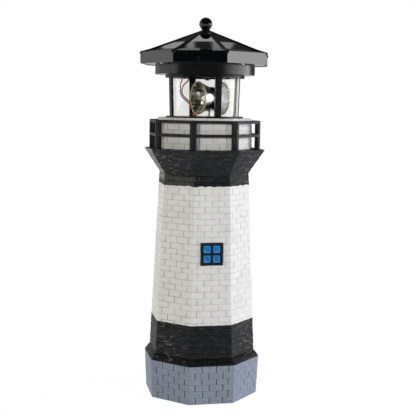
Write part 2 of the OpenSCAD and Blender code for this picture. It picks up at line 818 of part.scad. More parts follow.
module roof_screws() {
    color("silver") in_head() for (k = [0:3])
        translate([0, 0, soffit_z]) at_polar(roof_screw_at, 22.5 + 90 * k)
            mirror([0, 0, 1]) screw(housing_wall + short_screw_bite);
}

// ---------- Drive ----------

module gear_plate() {
    color("gainsboro") in_head() translate([0, 0, gear_plate_z]) difference() {
        cylinder(h = plate_t, r = plate_r, $fn = cone_fn);
        at_flat(rotor_at, -eps) rod(shaft_r + running_gap + bush_wall + seat_gap, plate_t + 1);
        at_flat(idler_at, -eps) rod(idler_pin_r + seat_gap, plate_t + 1);
        at_flat(motor_at, -eps) rod(motor_shaft_r + side_gap, plate_t + 1);
        for (a = plate_screw_turns)
            translate([0, 0, -eps]) at_polar(plate_screw_at, a) rod(pilot_r, plate_t + 1);
    }
}

module plate_screws() {
    color("silver") in_head() for (a = plate_screw_turns)
        translate([0, 0, gear_plate_z]) at_polar(plate_screw_at, a)
            mirror([0, 0, 1]) screw(plate_t + short_screw_bite);
}

module drive_motor() {
    color("silver") in_head() at_flat(motor_at, gear_plate_z - motor_h) difference() {
        union() {
            intersection() {
                rod(motor_r, motor_h);
                translate([-motor_r, -motor_r * 0.82, 0]) cube([2 * motor_r, motor_r * 1.64, motor_h]);
            }
            for (s = [-1, 1]) translate([-0.6, s * 3.5 - 0.9, -1.2]) cube([0.5, 1.8, 1.2 + eps]);
        }
        translate([0, 0, 1]) rod(motor_shaft_r + running_gap, motor_h);
    }
}

module drive_cover() {
    color("black") in_head() translate([0, 0, plug_z - cover_t]) difference() {
        cylinder(h = cover_t, r = plug_r, $fn = cone_fn);
        for (a = cover_boss_turns)
            translate([0, 0, -eps]) at_polar(cover_boss_at, a) rod(pilot_r, cover_t + 1);
    }
}

module cover_screws() {
    color("silver") in_head() for (a = cover_boss_turns)
        translate([0, 0, plug_z - cover_t]) at_polar(cover_boss_at, a)
            mirror([0, 0, 1]) screw(cover_t + long_screw_bite);
}

// A flanged bush round the rotor's shaft, its flange below z = 0
module bush(length) {
    bore = shaft_r + running_gap;
    difference() {
        union() {
            rod(bore + bush_wall, length);
            translate([0, 0, -bush_flange_t]) rod(bore + bush_wall + bush_flange, bush_flange_t);
        }
        translate([0, 0, -bush_flange_t - eps]) rod(bore, length + bush_flange_t + 2 * eps);
    }
}

module floor_bush() {
    color("goldenrod") in_head() at_flat(rotor_at, drum_z) bush(floor_t + 0.6);
}

module plate_bush() {
    color("goldenrod") in_head() at_flat(rotor_at, gear_plate_z) bush(plate_t);
}

module idler_pin() {
    color("silver") in_head() at_flat(idler_at, gear_plate_z) rod(idler_pin_r, plate_t + gear_space);
}

// The brushes are two leaves that bear on the slip ring's bands, held in one block
brush_side = idler_turn + 180;
brush_leaf_t = 0.3;
brush_band_h = 0.8;
brush_block_size = [4, 5, 2.7];
brush_reach = 8;
module on_brush_side() {
    in_head() at_flat(rotor_at, gear_floor_z) rotate([0, 0, brush_side]) children();
}

module brush_block() {
    color("dimgray") on_brush_side() difference() {
        translate([slip_r + running_gap + brush_leaf_t / 2 - brush_block_size[0] / 2, brush_reach - 1, 0])
            cube(brush_block_size);
        for (band = [0, 1]) translate([slip_r + running_gap - seat_gap, brush_reach - 1 - eps,
                slip_band_z(band) - seat_gap])
            cube([brush_leaf_t + 2 * seat_gap, 2 + eps, brush_band_h + 2 * seat_gap]);
    }
}

module brushes() {
    color("orange") on_brush_side() for (band = [0, 1])
        translate([slip_r + running_gap, -2, slip_band_z(band)])
            cube([brush_leaf_t, brush_reach + 3, brush_band_h]);
}

// ---------- Rotor ----------

slip_h = 2.4;
slip_z = 0.45;
// Height of a band's lower edge above the gear plate
function slip_band_z(band) = slip_z + 0.15 + band * (brush_band_h + 0.5);
shaft_foot_z = gear_plate_z - bush_flange_t;
shaft_top_z = reflector_axis_z - hub_r + 4.5;

module on_rotor() {
    in_head() at_flat(rotor_at, 0) children();
}

module rotor_shaft() {
    color("silver") on_rotor() translate([0, 0, shaft_foot_z]) rod(shaft_r, shaft_top_z - shaft_foot_z);
}

module rotor_gear() {
    color("ivory") on_rotor() translate([0, 0, high_gear_z]) union() {
        rotate([0, 0, idler_turn + 180 / rotor_teeth]) gear(rotor_teeth, gear_face, shaft_r + seat_gap);
        translate([0, 0, gear_face - eps]) difference() {
            rod(3.2, drum_z - bush_flange_t - side_gap - high_gear_z - gear_face + eps);
            translate([0, 0, -eps]) rod(shaft_r + seat_gap, 10);
        }
    }
}

module slip_ring() {
    color("goldenrod") on_rotor() translate([0, 0, gear_floor_z + slip_z]) difference() {
        rod(slip_r, slip_h);
        translate([0, 0, -eps]) rod(shaft_r + seat_gap, slip_h + 2 * eps);
    }
}

module along_reflectors() {
    on_rotor() translate([0, 0, reflector_axis_z]) rotate([0, 90, reflector_turn]) children();
}

module reflector_hub() {
    boss_r = 3.4;
    foot = hub_r + 1.6;
    bore_h = shaft_top_z - reflector_axis_z + foot + 1;
    color("silver") difference() {
        union() {
            along_reflectors() translate([0, 0, -hub_w / 2]) difference() {
                cylinder(h = hub_w, r = hub_r, $fn = cone_fn);
                for (z = [-eps, hub_w - 1 + eps]) translate([0, 0, z]) rod(led_r + seat_gap, 1);
            }
            on_rotor() translate([0, 0, reflector_axis_z - foot]) rod(boss_r, foot - 4);
        }
        on_rotor() translate([0, 0, reflector_axis_z - foot - 1]) rod(shaft_r + seat_gap, bore_h);
    }
}

// Radius of the parabolic mirror bowl at a distance from the rotor's axis
function bowl_r(along) =
    let (t = (along - bowl_floor) / (rim_reach - bowl_floor), hole = led_r + seat_gap)
    sqrt(pow(hole, 2) * (1 - t) + pow(rim_r - rim_lip, 2) * t);

// One bell, revolved from [radius, distance from the rotor's axis]: flared back, rolled rim, bowl
module reflector_bell() {
    lip_foot = rim_reach - rim_lip;
    back = [[hub_r + bell_over_hub, hub_w / 2], [bowl_r(lip_foot) + reflector_wall, lip_foot]];
    rim = [[rim_r, lip_foot], [rim_r, rim_reach]];
    bowl = [for (i = [bowl_steps:-1:0])
        let (along = bowl_floor + (rim_reach - bowl_floor) * pow(i / bowl_steps, 2))
        [bowl_r(along), along]];
    rotate_extrude($fn = cone_fn) polygon(concat(back, rim, bowl, [[led_r + seat_gap, hub_w / 2]]));
}

module reflectors() {
    color("gold") along_reflectors() for (s = [0, 1]) mirror([0, 0, s]) reflector_bell();
}

module led_lamps() {
    lamp_h = 5.4;
    color("white") along_reflectors() for (s = [0, 1]) mirror([0, 0, s])
        translate([0, 0, hub_w / 2 - 1 + seat_gap]) {
            rod(led_r, lamp_h - led_r);
            translate([0, 0, lamp_h - led_r]) sphere(r = led_r, $fn = 48);
        }
}

// ---------- Gears of the drive ----------

module idler_gear() {
    bore = idler_pin_r + running_gap;
    color("ivory") in_head() at_flat(idler_at, low_gear_z) union() {
        rotate([0, 0, motor_turn]) gear(idler_big_teeth, gear_face, bore);
        translate([0, 0, gear_face - eps]) rotate([0, 0, idler_turn + 180])
            gear(small_teeth, high_gear_z - low_gear_z + eps, bore);
    }
}

module motor_shaft() {
    color("silver") in_head() at_flat(motor_at, gear_plate_z - motor_h + 1 + side_gap)
        rod(motor_shaft_r, low_gear_z + gear_face - gear_plate_z + motor_h - 1 - side_gap);
}

module motor_pinion() {
    color("goldenrod") in_head() at_flat(motor_at, low_gear_z)
        rotate([0, 0, motor_turn + 180 + 180 / small_teeth])
            gear(small_teeth, gear_face, motor_shaft_r + seat_gap);
}

tower_casting();
gallery_railing();
lantern_frame();
lantern_glass();
glass_seal();
battery_housing();
roof_shell();
solar_cells();
roof_screws();
housing_screws();
battery_cradle();
battery_cell();
battery_contacts();
circuit_board();
board_screws();
switch_body();
switch_knob();
wire_grommets();
red_lead();
black_lead();
gear_plate();
plate_screws();
drive_motor();
drive_cover();
cover_screws();
floor_bush();
plate_bush();
idler_pin();
brush_block();
brushes();
rotor_shaft();
rotor_gear();
slip_ring();
reflector_hub();
reflectors();
led_lamps();
idler_gear();
motor_shaft();
motor_pinion();
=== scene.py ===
"""Looks of a garden lighthouse ornament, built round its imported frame.

The cast tower gets its brickwork, paint and window, and the lift-off lantern head gets its
clear cylinder, faceted reflectors, leads, roof and solar cells. Everything is in metres, in
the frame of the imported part: +Z up, the wall with the window faces -Y.
"""

import math

import bmesh
import bpy
import numpy as np
from bpy.props import FloatProperty, FloatVectorProperty, IntProperty, PointerProperty
from mathutils import Matrix, Vector, noise
from mathutils.geometry import interpolate_bezier


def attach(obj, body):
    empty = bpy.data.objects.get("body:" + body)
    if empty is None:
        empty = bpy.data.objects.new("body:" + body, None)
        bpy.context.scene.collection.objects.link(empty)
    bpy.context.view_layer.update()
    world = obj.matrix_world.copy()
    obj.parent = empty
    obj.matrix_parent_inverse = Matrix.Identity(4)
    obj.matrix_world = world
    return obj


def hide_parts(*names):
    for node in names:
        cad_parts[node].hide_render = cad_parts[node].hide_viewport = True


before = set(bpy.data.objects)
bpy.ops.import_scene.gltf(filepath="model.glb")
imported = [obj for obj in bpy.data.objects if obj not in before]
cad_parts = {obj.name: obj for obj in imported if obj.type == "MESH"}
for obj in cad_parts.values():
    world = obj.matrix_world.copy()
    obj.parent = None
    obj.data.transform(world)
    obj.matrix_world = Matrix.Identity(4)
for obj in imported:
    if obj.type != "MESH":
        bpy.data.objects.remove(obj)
bpy.context.view_layer.update()

bl_info = {
    "name": "Garden lighthouse ornament",
    "version": (1, 0, 0),
    "blender": (4, 5, 0),
    "location": "3D View > Sidebar > Lighthouse",
    "description": "Builds the looks of a brick lighthouse with a solar lantern head",
    "category": "Object",
}

MM = 0.001
SIDES = 8
# A wall of an octagon stands at this share of the corners' radius.
FLAT = math.cos(math.pi / SIDES)


# ---- properties


def length(name, millimetres, description):
    """A length property, whose default is given in millimetres."""
    return FloatProperty(
        name=name,
        description=description,
        default=millimetres * MM,
        unit="LENGTH",
        subtype="DISTANCE",
        precision=5,
    )


def turn(name, degrees, description):
    """An angle property, whose default is given in degrees."""
    return FloatProperty(
        name=name,
        description=description,
        default=math.radians(degrees),
        unit="ROTATION",
        subtype="ANGLE",
    )


def count(name, number, description):
    return IntProperty(name=name, description=description, default=number, min=1)


def paint(name, red, green, blue, description):
    """A colour property, whose default is given as a screen colour from 0 to 255."""
    screen = [value / 255 for value in (red, green, blue)]
    return FloatVectorProperty(
        name=name,
        description=description,
        default=[v / 12.92 if v <= 0.04045 else ((v + 0.055) / 1.055) ** 2.4 for v in screen],
        size=3,
        subtype="COLOR",
        min=0,
        max=1,
    )


class TowerSizes(bpy.types.PropertyGroup):
    plinth_foot_r: length("Plinth foot", 55.6, "Corner radius of the plinth at the ground")
    plinth_top_r: length("Plinth top", 57.3, "Corner radius of the plinth at its top")
    plinth_h: length("Plinth height", 36.5, "Height of the plinth")
    skirt_h: length("Skirt height", 6.5, "Height of the sloped skirt above the plinth")
    shaft_foot_r: length("Shaft foot", 52.3, "Corner radius of the shaft above the skirt")
    shaft_top_r: length("Shaft top", 44.1, "Corner radius of the shaft under the flare")
    shaft_h: length("Shaft height", 171, "Height of the tapered shaft")
    flare_h: length("Flare height", 21.5, "Height of the flare under the deck")
    deck_r: length("Deck", 58.9, "Corner radius of the deck")
    deck_h: length("Deck edge", 1, "Thickness of the deck's edge")
    drum_r: length("Drum", 46.3, "Corner radius of the drum on the deck")
    drum_h: length("Drum height", 29.2, "Height of the drum")
    socket_r: length("Socket", 31.8, "Radius of the socket for the lantern's plug")
    socket_depth: length("Socket depth", 27.6, "Depth of the socket below the drum's top")
    cavity_wall: length("Wall", 4.5, "Least wall round the hollow inside the casting")
    cavity_roof: length("Hollow's roof", 7, "Thickness between the hollow and the socket")


class BrickSizes(bpy.types.PropertyGroup):
    plinth_courses: count("Plinth courses", 6, "Courses of bricks on the plinth")
    shaft_courses: count("Shaft courses", 35, "Courses of bricks from the plinth to the deck")
    drum_courses: count("Drum courses", 5, "Courses of bricks on the drum")
    joint_w: length("Joint", 0.65, "Width of a mortar joint")
    joint_depth: length("Joint depth", 0.6, "Depth of a mortar joint")
    set_back: length("Set back", 0.25, "How far a brick may sit behind its neighbours")
    grain: length("Grain", 0.14, "Height of the lumps on a brick's face")
    sway: length("Sway", 0.3, "How far a bed of mortar sways up and down")
    uneven: length("Uneven", 1.2, "How much the courses differ in height")
    corner_wear: length("Corner wear", 0.35, "How much is worn off the tower's corners")


class WindowSizes(bpy.types.PropertyGroup):
    side: length("Frame", 21.2, "Width and height of the window frame")
    middle_z: length("Height", 140.7, "Height of the window's middle")
    bar_w: length("Bar", 2.8, "Width of the frame's bars")
    muntin_w: length("Muntin", 2.3, "Width of the bars between the panes")
    relief: length("Relief", 1.6, "How far the frame stands out of the wall")
    pane_relief: length("Pane relief", 1.2, "How far the middle of a pane stands out")
    sunk: length("Sunk", 2, "How deep the frame reaches into the wall")


class HeadSizes(bpy.types.PropertyGroup):
    turn: turn("Turn", 6.7, "Turn of the whole head on the tower")
    floor_t: length("Floor", 1.4, "Thickness of the lantern's floor")
    glass_foot_r: length("Cylinder foot", 32, "Outer radius of the clear cylinder at the floor")
    glass_top_r: length("Cylinder top", 33.2, "Outer radius of the clear cylinder at its top")
    glass_h: length("Cylinder height", 38.1, "Height of the clear cylinder")
    glass_wall: length("Cylinder wall", 1.5, "Wall of the clear cylinder")
    lead_r: length("Lead", 0.6, "Radius of a lead")


class RotorSizes(bpy.types.PropertyGroup):
    offset: length("Offset", 4.8, "Distance of the rotor's axis from the lantern's middle")
    offset_turn: turn("Offset turn", -18, "Direction of that offset in the head")
    facing: turn("Facing", 190, "Direction the first reflector faces in the head")
    axis_h: length("Axis height", 17.2, "Height of the reflectors' axis above the floor")
    rim_r: length("Rim", 15.8, "Radius of a reflector's rim")
    rim_reach: length("Reach", 13.4, "Distance of a rim from the rotor's axis")
    rim_lip: length("Lip", 0.8, "Width and thickness of the rolled rim")
    back_r: length("Back", 11.7, "Radius of a reflector's back at the hub")
    hub_w: length("Hub", 7, "Width of the hub between the reflectors")
    floor_over_hub: length("Bowl floor", 1.2, "Thickness of the bowl at the lamp")
    wall: length("Reflector wall", 1, "Wall of a reflector at its rim")
    lamp_hole_r: length("Lamp hole", 2.55, "Radius of the hole for the lamp")
    facet: length("Facet", 4.2, "Width and height of a facet")
    facet_crown: length("Facet crown", 0.2, "How far a facet bulges")
    facet_tilt: length("Facet tilt", 0.9, "How unevenly the facets stand")


class Paints(bpy.types.PropertyGroup):
    plinth: paint("Plinth", 145, 154, 173, "Blue-grey paint on the plinth")
    white: paint("White", 234, 234, 234, "White paint on the shaft and drum")
    black: paint("Black", 17, 20, 24, "Black paint on the shaft")
    # The mortar colour also serves as the painted shade on the drum's left side.
    mortar: paint("Mortar", 146, 138, 122, "Dirt in the joints of the white bricks")
    plinth_joint: paint("Plinth joint", 36, 40, 54, "Paint missed in the plinth's joints")
    # This grey also serves as painted highlight on the black bricks at the sides and on the flare's
    # left.
    brushed: paint("Brushed edges", 134, 133, 128, "Dry-brushed grey on the black bricks' edges")
    raw_stone: paint("Raw stone", 186, 176, 160, "Unpainted casting inside")
    pane: paint("Pane", 0, 112, 214, "Blue paint on the window panes")
    pane_edge: paint("Pane edge", 40, 176, 238, "Lighter brush marks at a pane's edges")
    window_frame: paint("Window frame", 14, 17, 22, "Black paint on the window frame")
    railing: paint("Railing", 20, 21, 21, "Black paint on the railing")
    shell: paint("Roof and lantern", 8, 10, 11, "Black plastic of the head")
    solar: paint("Solar cell", 8, 12, 24, "Silicon under the solar cells' glass")
    solar_line: paint("Solar finger", 70, 76, 88, "Thin conductors on a solar cell")
    chrome: paint("Chrome", 222, 222, 226, "Metallised plastic of the reflectors")
    gold: paint("Rim", 176, 158, 112, "Warm tint of the reflectors' rims")
    # Pale so as to stand as a painted reflection of the bright studio, on one bell only.
    satin_painted_reflection: paint("Bell back", 244, 244, 250, "Satin coat on the second bell's back")
    lens: paint("Lamp", 238, 236, 220, "Lens of a light-emitting diode")
    red: paint("Red lead", 176, 24, 26, "Sleeve of the red lead")
    dark: paint("Black lead", 16, 16, 18, "Sleeve of the black lead")
    steel: paint("Steel", 190, 191, 194, "Zinc-plated steel")
    brass: paint("Brass", 196, 162, 92, "Bushes, slip ring and pinion")
    copper: paint("Copper", 198, 122, 84, "Brush leaves")
    acetal: paint("Gear plastic", 232, 229, 216, "Moulded gears and the switch's knob")
    inner: paint("Inner plastic", 58, 60, 63, "Moulded parts inside the housing")
    rubber: paint("Rubber", 34, 34, 35, "Seal and grommets")
    sleeve: paint("Cell sleeve", 46, 122, 74, "Shrink sleeve of the rechargeable cell")
    board: paint("Board", 22, 78, 48, "Solder mask of the circuit board")


class StageSizes(bpy.types.PropertyGroup):
    eye: FloatVectorProperty(
        name="Eye",
        description="Where the camera stands",
        default=(-0.1742, -0.8708, 0.2786),
        size=3,
        unit="LENGTH",
        subtype="TRANSLATION",
    )
    heading: turn("Heading", -11.62, "Turn of the camera's line of sight from +Y, to the left")
    pitch: turn("Pitch", 6.41, "How far the camera looks down")
    roll: turn("Roll", 0.89, "Roll of the camera")
    lens: FloatProperty(
        name="Lens", description="Focal length", default=79.96, unit="CAMERA"
    )
    floor_side: length("Floor", 12000, "Side of the floor")
    lamp_distance: length("Lamp distance", 1500, "Distance of the soft lamps")


GROUPS = {
    "tower": TowerSizes,
    "bricks": BrickSizes,
    "window": WindowSizes,
    "head": HeadSizes,
    "rotor": RotorSizes,
    "paints": Paints,
    "stage": StageSizes,
}


class LighthouseSettings(bpy.types.PropertyGroup):
    """Every size and colour of the ornament."""

    __annotations__ = {key: PointerProperty(type=group) for key, group in GROUPS.items()}


def settings():
    return bpy.context.scene.lighthouse


def levels():
    """Heights of the shaft's foot and top, the flare's rim and the deck."""
    sizes = settings().tower
    shaft_z = sizes.plinth_h + sizes.skirt_h
    flare_z = shaft_z + sizes.shaft_h
    rim_z = flare_z + sizes.flare_h
    return shaft_z, flare_z, rim_z, rim_z + sizes.deck_h


def floor_z():
    """Height of the lantern's floor."""
    return levels()[3] + settings().tower.drum_h + settings().head.floor_t


# ---- shader helpers


class Term:
    """One output socket of a finish, on which Python's operators add Math nodes."""

    def __init__(self, finish, socket):
        self.finish = finish
        self.socket = socket

    def maths(self, operation, *operands):
        """A Math node of these operands, or of this value alone."""
        values = dict(enumerate(operands or (self,)))
        return self.finish.node("ShaderNodeMath", {"operation": operation}, values)

    def __add__(self, other):
        return self.maths("ADD", self, other)

    def __sub__(self, other):
        return self.maths("SUBTRACT", self, other)

    def __mul__(self, other):
        return self.maths("MULTIPLY", self, other)

    def __rsub__(self, other):
        return self.maths("SUBTRACT", other, self)

    __radd__ = __add__
    __rmul__ = __mul__

    def ramp(self, low, high, to_low=0.0, to_high=1.0):
        """Rises smoothly from to_low to to_high as the value goes from low to high."""
        choices = {"interpolation_type": "SMOOTHSTEP"}
        values = {0: self, 1: low, 2: high, 3: to_low, 4: to_high}
        return self.finish.node("ShaderNodeMapRange", choices, values)

    def either(self, other):
        return self.maths("MAXIMUM", self, other)

    def band(self, low, high, soft):
        """One between low and high, and nothing outside them."""
        rise = self.ramp(low - soft, low + soft)
        return rise * self.ramp(high - soft, high + soft, 1.0, 0.0)


def scaled(colour, factor):
    """A colour times a factor, as far as a colour goes."""
    return [min(1, c * factor) for c in colour]


SHADOW_TINT = (0.935, 0.935, 0.93)


class Finish:
    """A node-based material while it is being made."""

    def __init__(self, name, owner=None):
        self.owner = owner or bpy.data.materials.new(name)
        self.owner.use_nodes = True
        self.tree = self.owner.node_tree
        self.tree.nodes.clear()
        self.spot = None

    def node(self, kind, choices=None, sockets=None, output=0):
        """Adds one node: its choices first, then the values or links of its sockets."""
        made = self.tree.nodes.new(kind)
        for name, value in (choices or {}).items():
            setattr(made, name, value)
        for key, value in (sockets or {}).items():
            socket = made.inputs[key]
            if isinstance(value, Term):
                self.tree.links.new(value.socket, socket)
            elif socket.type == "RGBA":
                socket.default_value = (*value[:3], 1)
            else:
                socket.default_value = value
        return Term(self, made.outputs[output] if len(made.outputs) else None)

    def place(self):
        if self.spot is None:
            self.spot = self.node("ShaderNodeTexCoord", output="Object")
        return self.spot

    def axis(self, letter, place=None):
        return self.node("ShaderNodeSeparateXYZ", None, {0: place or self.place()}, letter)

    def layer(self, name):
        """A value that the mesh carries at its points."""
        return self.node("ShaderNodeAttribute", {"attribute_name": name}, output="Fac")

    def noise(self, size, detail=3.0, roughness=0.5, warp=0.0, place=None):
        """Soft noise from 0 to 1, whose lumps are about size metres wide."""
        values = {
            "Vector": place or self.place(),
            "Scale": 1 / size,
            "Detail": detail,
            "Roughness": roughness,
            "Distortion": warp,
        }
        return self.node("ShaderNodeTexNoise", None, values)

    def stretched(self, x, y, z):
        """The place with its axes scaled, so that noise is drawn out along one of them."""
        values = {0: self.place(), 1: (x, y, z)}
        return self.node("ShaderNodeVectorMath", {"operation": "MULTIPLY"}, values)

    def mix(self, share, first, second):
        """The first colour, and the second where share is 1."""
        values = {0: share, 6: first, 7: second}
        return self.node("ShaderNodeMix", {"data_type": "RGBA"}, values, 2)

    def shade(self, share, colour, factor):
        """A plain colour, and that colour times a factor where share is 1."""
        return self.mix(share, colour, scaled(colour, factor))

    def bump(self, height, depth, strength=1.0):
        """Normals of a relief that is depth metres deep where height goes from 0 to 1."""
        values = {"Height": height, "Distance": depth, "Strength": strength}
        return self.node("ShaderNodeBump", None, values)

    def ray(self, kind):
        """One for a ray of a kind: Camera, Glossy, Transmission or Shadow."""
        return self.node("ShaderNodeLightPath", output=f"Is {kind} Ray")

    def along(self, direction, line):
        """How far a direction points along a fixed line."""
        choices, values = {"operation": "DOT_PRODUCT"}, {0: direction, 1: line}
        return self.node("ShaderNodeVectorMath", choices, values, "Value")

    def surface(self, base, roughness, **sockets):
        """Closes the material with its surface, and returns the material."""
        values = {"Base Color": base, "Roughness": roughness}
        values.update({name.replace("_", " "): value for name, value in sockets.items()})
        shader = self.node("ShaderNodeBsdfPrincipled", None, values)
        if "Transmission Weight" in values:
            # Light passes a clear material, so that its shadow is pale.
            clear = self.node("ShaderNodeBsdfTransparent", None, {"Color": SHADOW_TINT})
            mixed = {0: self.ray("Shadow"), 1: shader, 2: clear}
            shader = self.node("ShaderNodeMixShader", None, mixed)
        self.node("ShaderNodeOutputMaterial", None, {"Surface": shader})
        return self.owner


# ---- materials


# Values that the brickwork's mesh carries: in a bed joint, in an upright one, on a brick's
# edge, and the brick's tone.
BRICK_LAYERS = ("bed", "head", "edge", "tone")
# Where the shaft's white paint begins and ends, and half the width of a line between paints.
WHITE_FOOT_Z = 73.8 * MM
WHITE_TOP_Z = 203 * MM
PAINT_LINE = 0.25 * MM
SCUFF = (0.4, 0.4, 0.41)
FINGERS_PER_METRE = 1100


def casting_paint():
    """Painted brickwork: blue-grey plinth, black, white and black shaft, white drum."""
    paints = settings().paints
    finish = Finish("casting_paint")
    across, height = finish.axis("X"), finish.axis("Z")
    bed, head, edge, tone = (finish.layer(name) for name in BRICK_LAYERS)
    speck = finish.noise(1.1 * MM, 5, 0.65)

    blotch = finish.noise(14 * MM, 4).ramp(0.4, 0.75, 0, 0.12)
    joint_dirt_and_shade = finish.noise(6 * MM, 3).ramp(0.3, 0.7, 0.35, 0.95)
    # The joints' dirt is 1.35 times as thick towards -X and 0.8 times towards +X: that difference
    # is painted shade on the left side.
    joint_dirt_and_shade *= across.ramp(-42 * MM, 10 * MM, 1.35, 0.8)
    white = finish.shade(tone * 0.1, paints.white, 0.86)
    white = finish.mix(blotch, white, paints.mortar)
    white = finish.mix((bed * 0.5).either(head * 0.9) * joint_dirt_and_shade, white, paints.mortar)

    mottle = finish.noise(2.8 * MM, 4, 0.6).ramp(0.42, 0.6, 0.0, 0.34)
    grey = finish.shade(tone * 0.3, paints.plinth, 0.78)
    grey = finish.mix(mottle, grey, scaled(paints.plinth, 0.6))
    grey = finish.mix(edge * 0.06, grey, paints.white)
    grey = finish.mix((bed * 0.24).either(head), grey, paints.plinth_joint)

    # Grey is dry-brushed over the black bricks' edges. The extra grey towards the sides and on the
    # flare's walls that face -X is painted highlight.
    streak = finish.noise(2.4 * MM, 5, 0.65, 0, finish.stretched(0.35, 0.35, 1.7))
    # More grey towards the sides is painted highlight.
    side = (across * across * (38 * MM) ** -2).ramp(0.1, 1.2, 0.25, 1.0)
    rubbed = (edge * 0.95 + 0.12) * streak.ramp(0.46, 0.69) * side
    outward = finish.along(finish.node("ShaderNodeTexCoord", output="Normal"), (-1, 0, 0))
    # Painted highlight on the flare's walls that face -X.
    flare_left_highlight = outward.ramp(0.7, 0.85) * height.ramp(204 * MM, 211 * MM)
    rubbed = rubbed.either(flare_left_highlight * speck.ramp(0.3, 0.55, 0.7, 1.35))
    # Fainter painted highlight on the flare's walls half turned towards -X.
    flare_half_left_highlight = outward.band(0.5, 0.8, 0.05) * height.band(202 * MM, 212 * MM, 1 * MM)
    rubbed = rubbed.either(flare_half_left_highlight * speck.ramp(0.35, 0.6, 0.08, 0.32))
    black = finish.shade(tone * 0.35, paints.black, 0.55)
    # The rubbed grey is dry-brush wear and painted highlight together.
    black = finish.mix(rubbed * 0.8, black, paints.brushed)
    black = finish.mix(bed.either(head) * 0.95, black, scaled(paints.black, 0.12))

    ragged = (finish.noise(5 * MM, 3) - 0.5) * (3.2 * MM)

    def above(level, wave=0.0):
        return (height + ragged * wave).ramp(level - PAINT_LINE, level + PAINT_LINE)

    colour = finish.mix(above(settings().tower.plinth_h), grey, black)
    colour = finish.mix(above(WHITE_FOOT_Z, 0.25), colour, white)
    colour = finish.mix(above(WHITE_TOP_Z, 1.0), colour, black)
    # Painted shade: the drum's white turns towards the mortar colour on its left side, where the
    # railing and roof shade it.
    drum = finish.mix(across.ramp(-30 * MM, 28 * MM, 0.22, 0.0), white, paints.mortar)
    colour = finish.mix(above(levels()[3] + 0.3 * MM, 0.4), colour, drum)
    relief = speck * 0.6 + finish.noise(3.4 * MM, 3) * 0.8
    return finish.surface(
        colour,
        speck.ramp(0.3, 0.7, 0.5, 0.68),
        Normal=finish.bump(relief, 0.16 * MM, 0.8),
        Specular_IOR_Level=0.22,
    )


def raw_casting():
    """Unpainted cast stone inside the tower, with bubbles."""
    finish = Finish("raw_casting")
    lumps = finish.noise(3 * MM, 5, 0.6)
    cells = {"Vector": finish.place(), "Scale": 1 / (2.6 * MM)}
    bubbles = finish.node("ShaderNodeTexVoronoi", None, cells).ramp(0.08, 0.2)
    return finish.surface(
        finish.shade(lumps, settings().paints.raw_stone, 0.7),
        lumps.ramp(0.3, 0.7, 0.75, 0.92),
        Normal=finish.bump(lumps + bubbles, 0.3 * MM),
    )


def brushed_black(name, base, polish, rub):
    """Black paint on cast pieces, with grey rubbed over its high spots."""
    finish = Finish(name)
    speck = finish.noise(1.3 * MM, 5, 0.65)
    wipe = finish.noise(8 * MM, 3)
    rubbed = speck.ramp(0.5, 0.68) * wipe.ramp(0.45, 0.7) * rub
    return finish.surface(
        finish.mix(rubbed, finish.shade(speck * 0.4, base, 0.6), settings().paints.brushed),
        speck.ramp(0.3, 0.7, polish, polish + 0.16),
        Normal=finish.bump(speck + wipe * 0.6, 0.12 * MM, 0.7),
        Specular_IOR_Level=0.25,
    )


def pane_paint():
    """Blue paint on a window pane, lighter where the brush turned at its edges."""
    paints = settings().paints
    finish = Finish("pane_paint")
    stroke = finish.noise(1.2 * MM, 4, 0.6, 1.5, finish.stretched(1, 1, 0.4))
    blob = finish.noise(3.2 * MM, 3, 0.6)
    rim = (finish.layer("rim") + (stroke - 0.5) * 0.9).ramp(0.4, 0.95)
    colour = finish.shade(blob.ramp(0.4, 0.62) * 0.9, paints.pane, 0.45)
    return finish.surface(
        finish.mix(rim * 0.9, colour, paints.pane_edge),
        stroke.ramp(0.3, 0.7, 0.26, 0.42),
        Normal=finish.bump(stroke, 0.12 * MM),
    )


def moulded(name, base, polish, grain=0.35, specular=0.5):
    """Moulded plastic or rubber with a fine grain and faint scuffs."""
    finish = Finish(name)
    grit = finish.noise(0.5 * MM, 3)
    cloud = finish.noise(16 * MM, 3)
    scuff = finish.noise(2.2 * MM, 4, 0.6, 0.4, finish.stretched(1, 1, 0.12)).ramp(0.62, 0.78)
    return finish.surface(
        finish.mix(scuff * 0.06, finish.shade(cloud * 0.35, base, 0.75), SCUFF),
        cloud.ramp(0.3, 0.7, polish * 0.85, polish * 1.2) + scuff * 0.08,
        Normal=finish.bump(grit + cloud * 0.4, 0.03 * MM, grain),
        Specular_IOR_Level=specular,
    )


def metal(name, base, polish, along=(1, 1, 0.08)):
    """Plated or turned metal with fine drawn lines."""
    finish = Finish(name)
    line = finish.noise(0.5 * MM, 4, 0.6, 0, finish.stretched(*along))
    return finish.surface(
        finish.shade(finish.noise(5 * MM, 3) * 0.4, base, 0.72),
        line.ramp(0.3, 0.7, polish * 0.8, polish * 1.4),
        Metallic=1.0,
        Normal=finish.bump(line, 0.02 * MM, 0.5),
    )


def clear_plastic():
    """The clear cylinder: slightly smoky, with faint waves from its mould."""
    finish = Finish("clear_plastic")
    return finish.surface(
        (0.86, 0.86, 0.852),
        finish.noise(9 * MM, 4, 0.6).ramp(0.4, 0.8, 0.0, 0.03),
        Transmission_Weight=1.0,
        IOR=1.18,
        Specular_Tint=(0.3, 0.3, 0.3),
        Normal=finish.bump(finish.noise(22 * MM, 2), 0.08 * MM, 0.4),
    )


def mirror_coat(name, tint, polish):
    """Metallised plastic, with the moulding's faint orange peel under it."""
    finish = Finish(name)
    haze = finish.noise(6 * MM, 4)
    rim = finish.layer("rim")
    return finish.surface(
        finish.mix(rim, finish.shade(haze * 0.3, tint, 0.8), settings().paints.gold),
        haze.ramp(0.35, 0.75, polish, polish + 0.09).either(rim * 0.4),
        Metallic=1 - rim * 0.6,
        Normal=finish.bump(finish.noise(1.6 * MM, 2), 0.02 * MM, 0.5),
    )


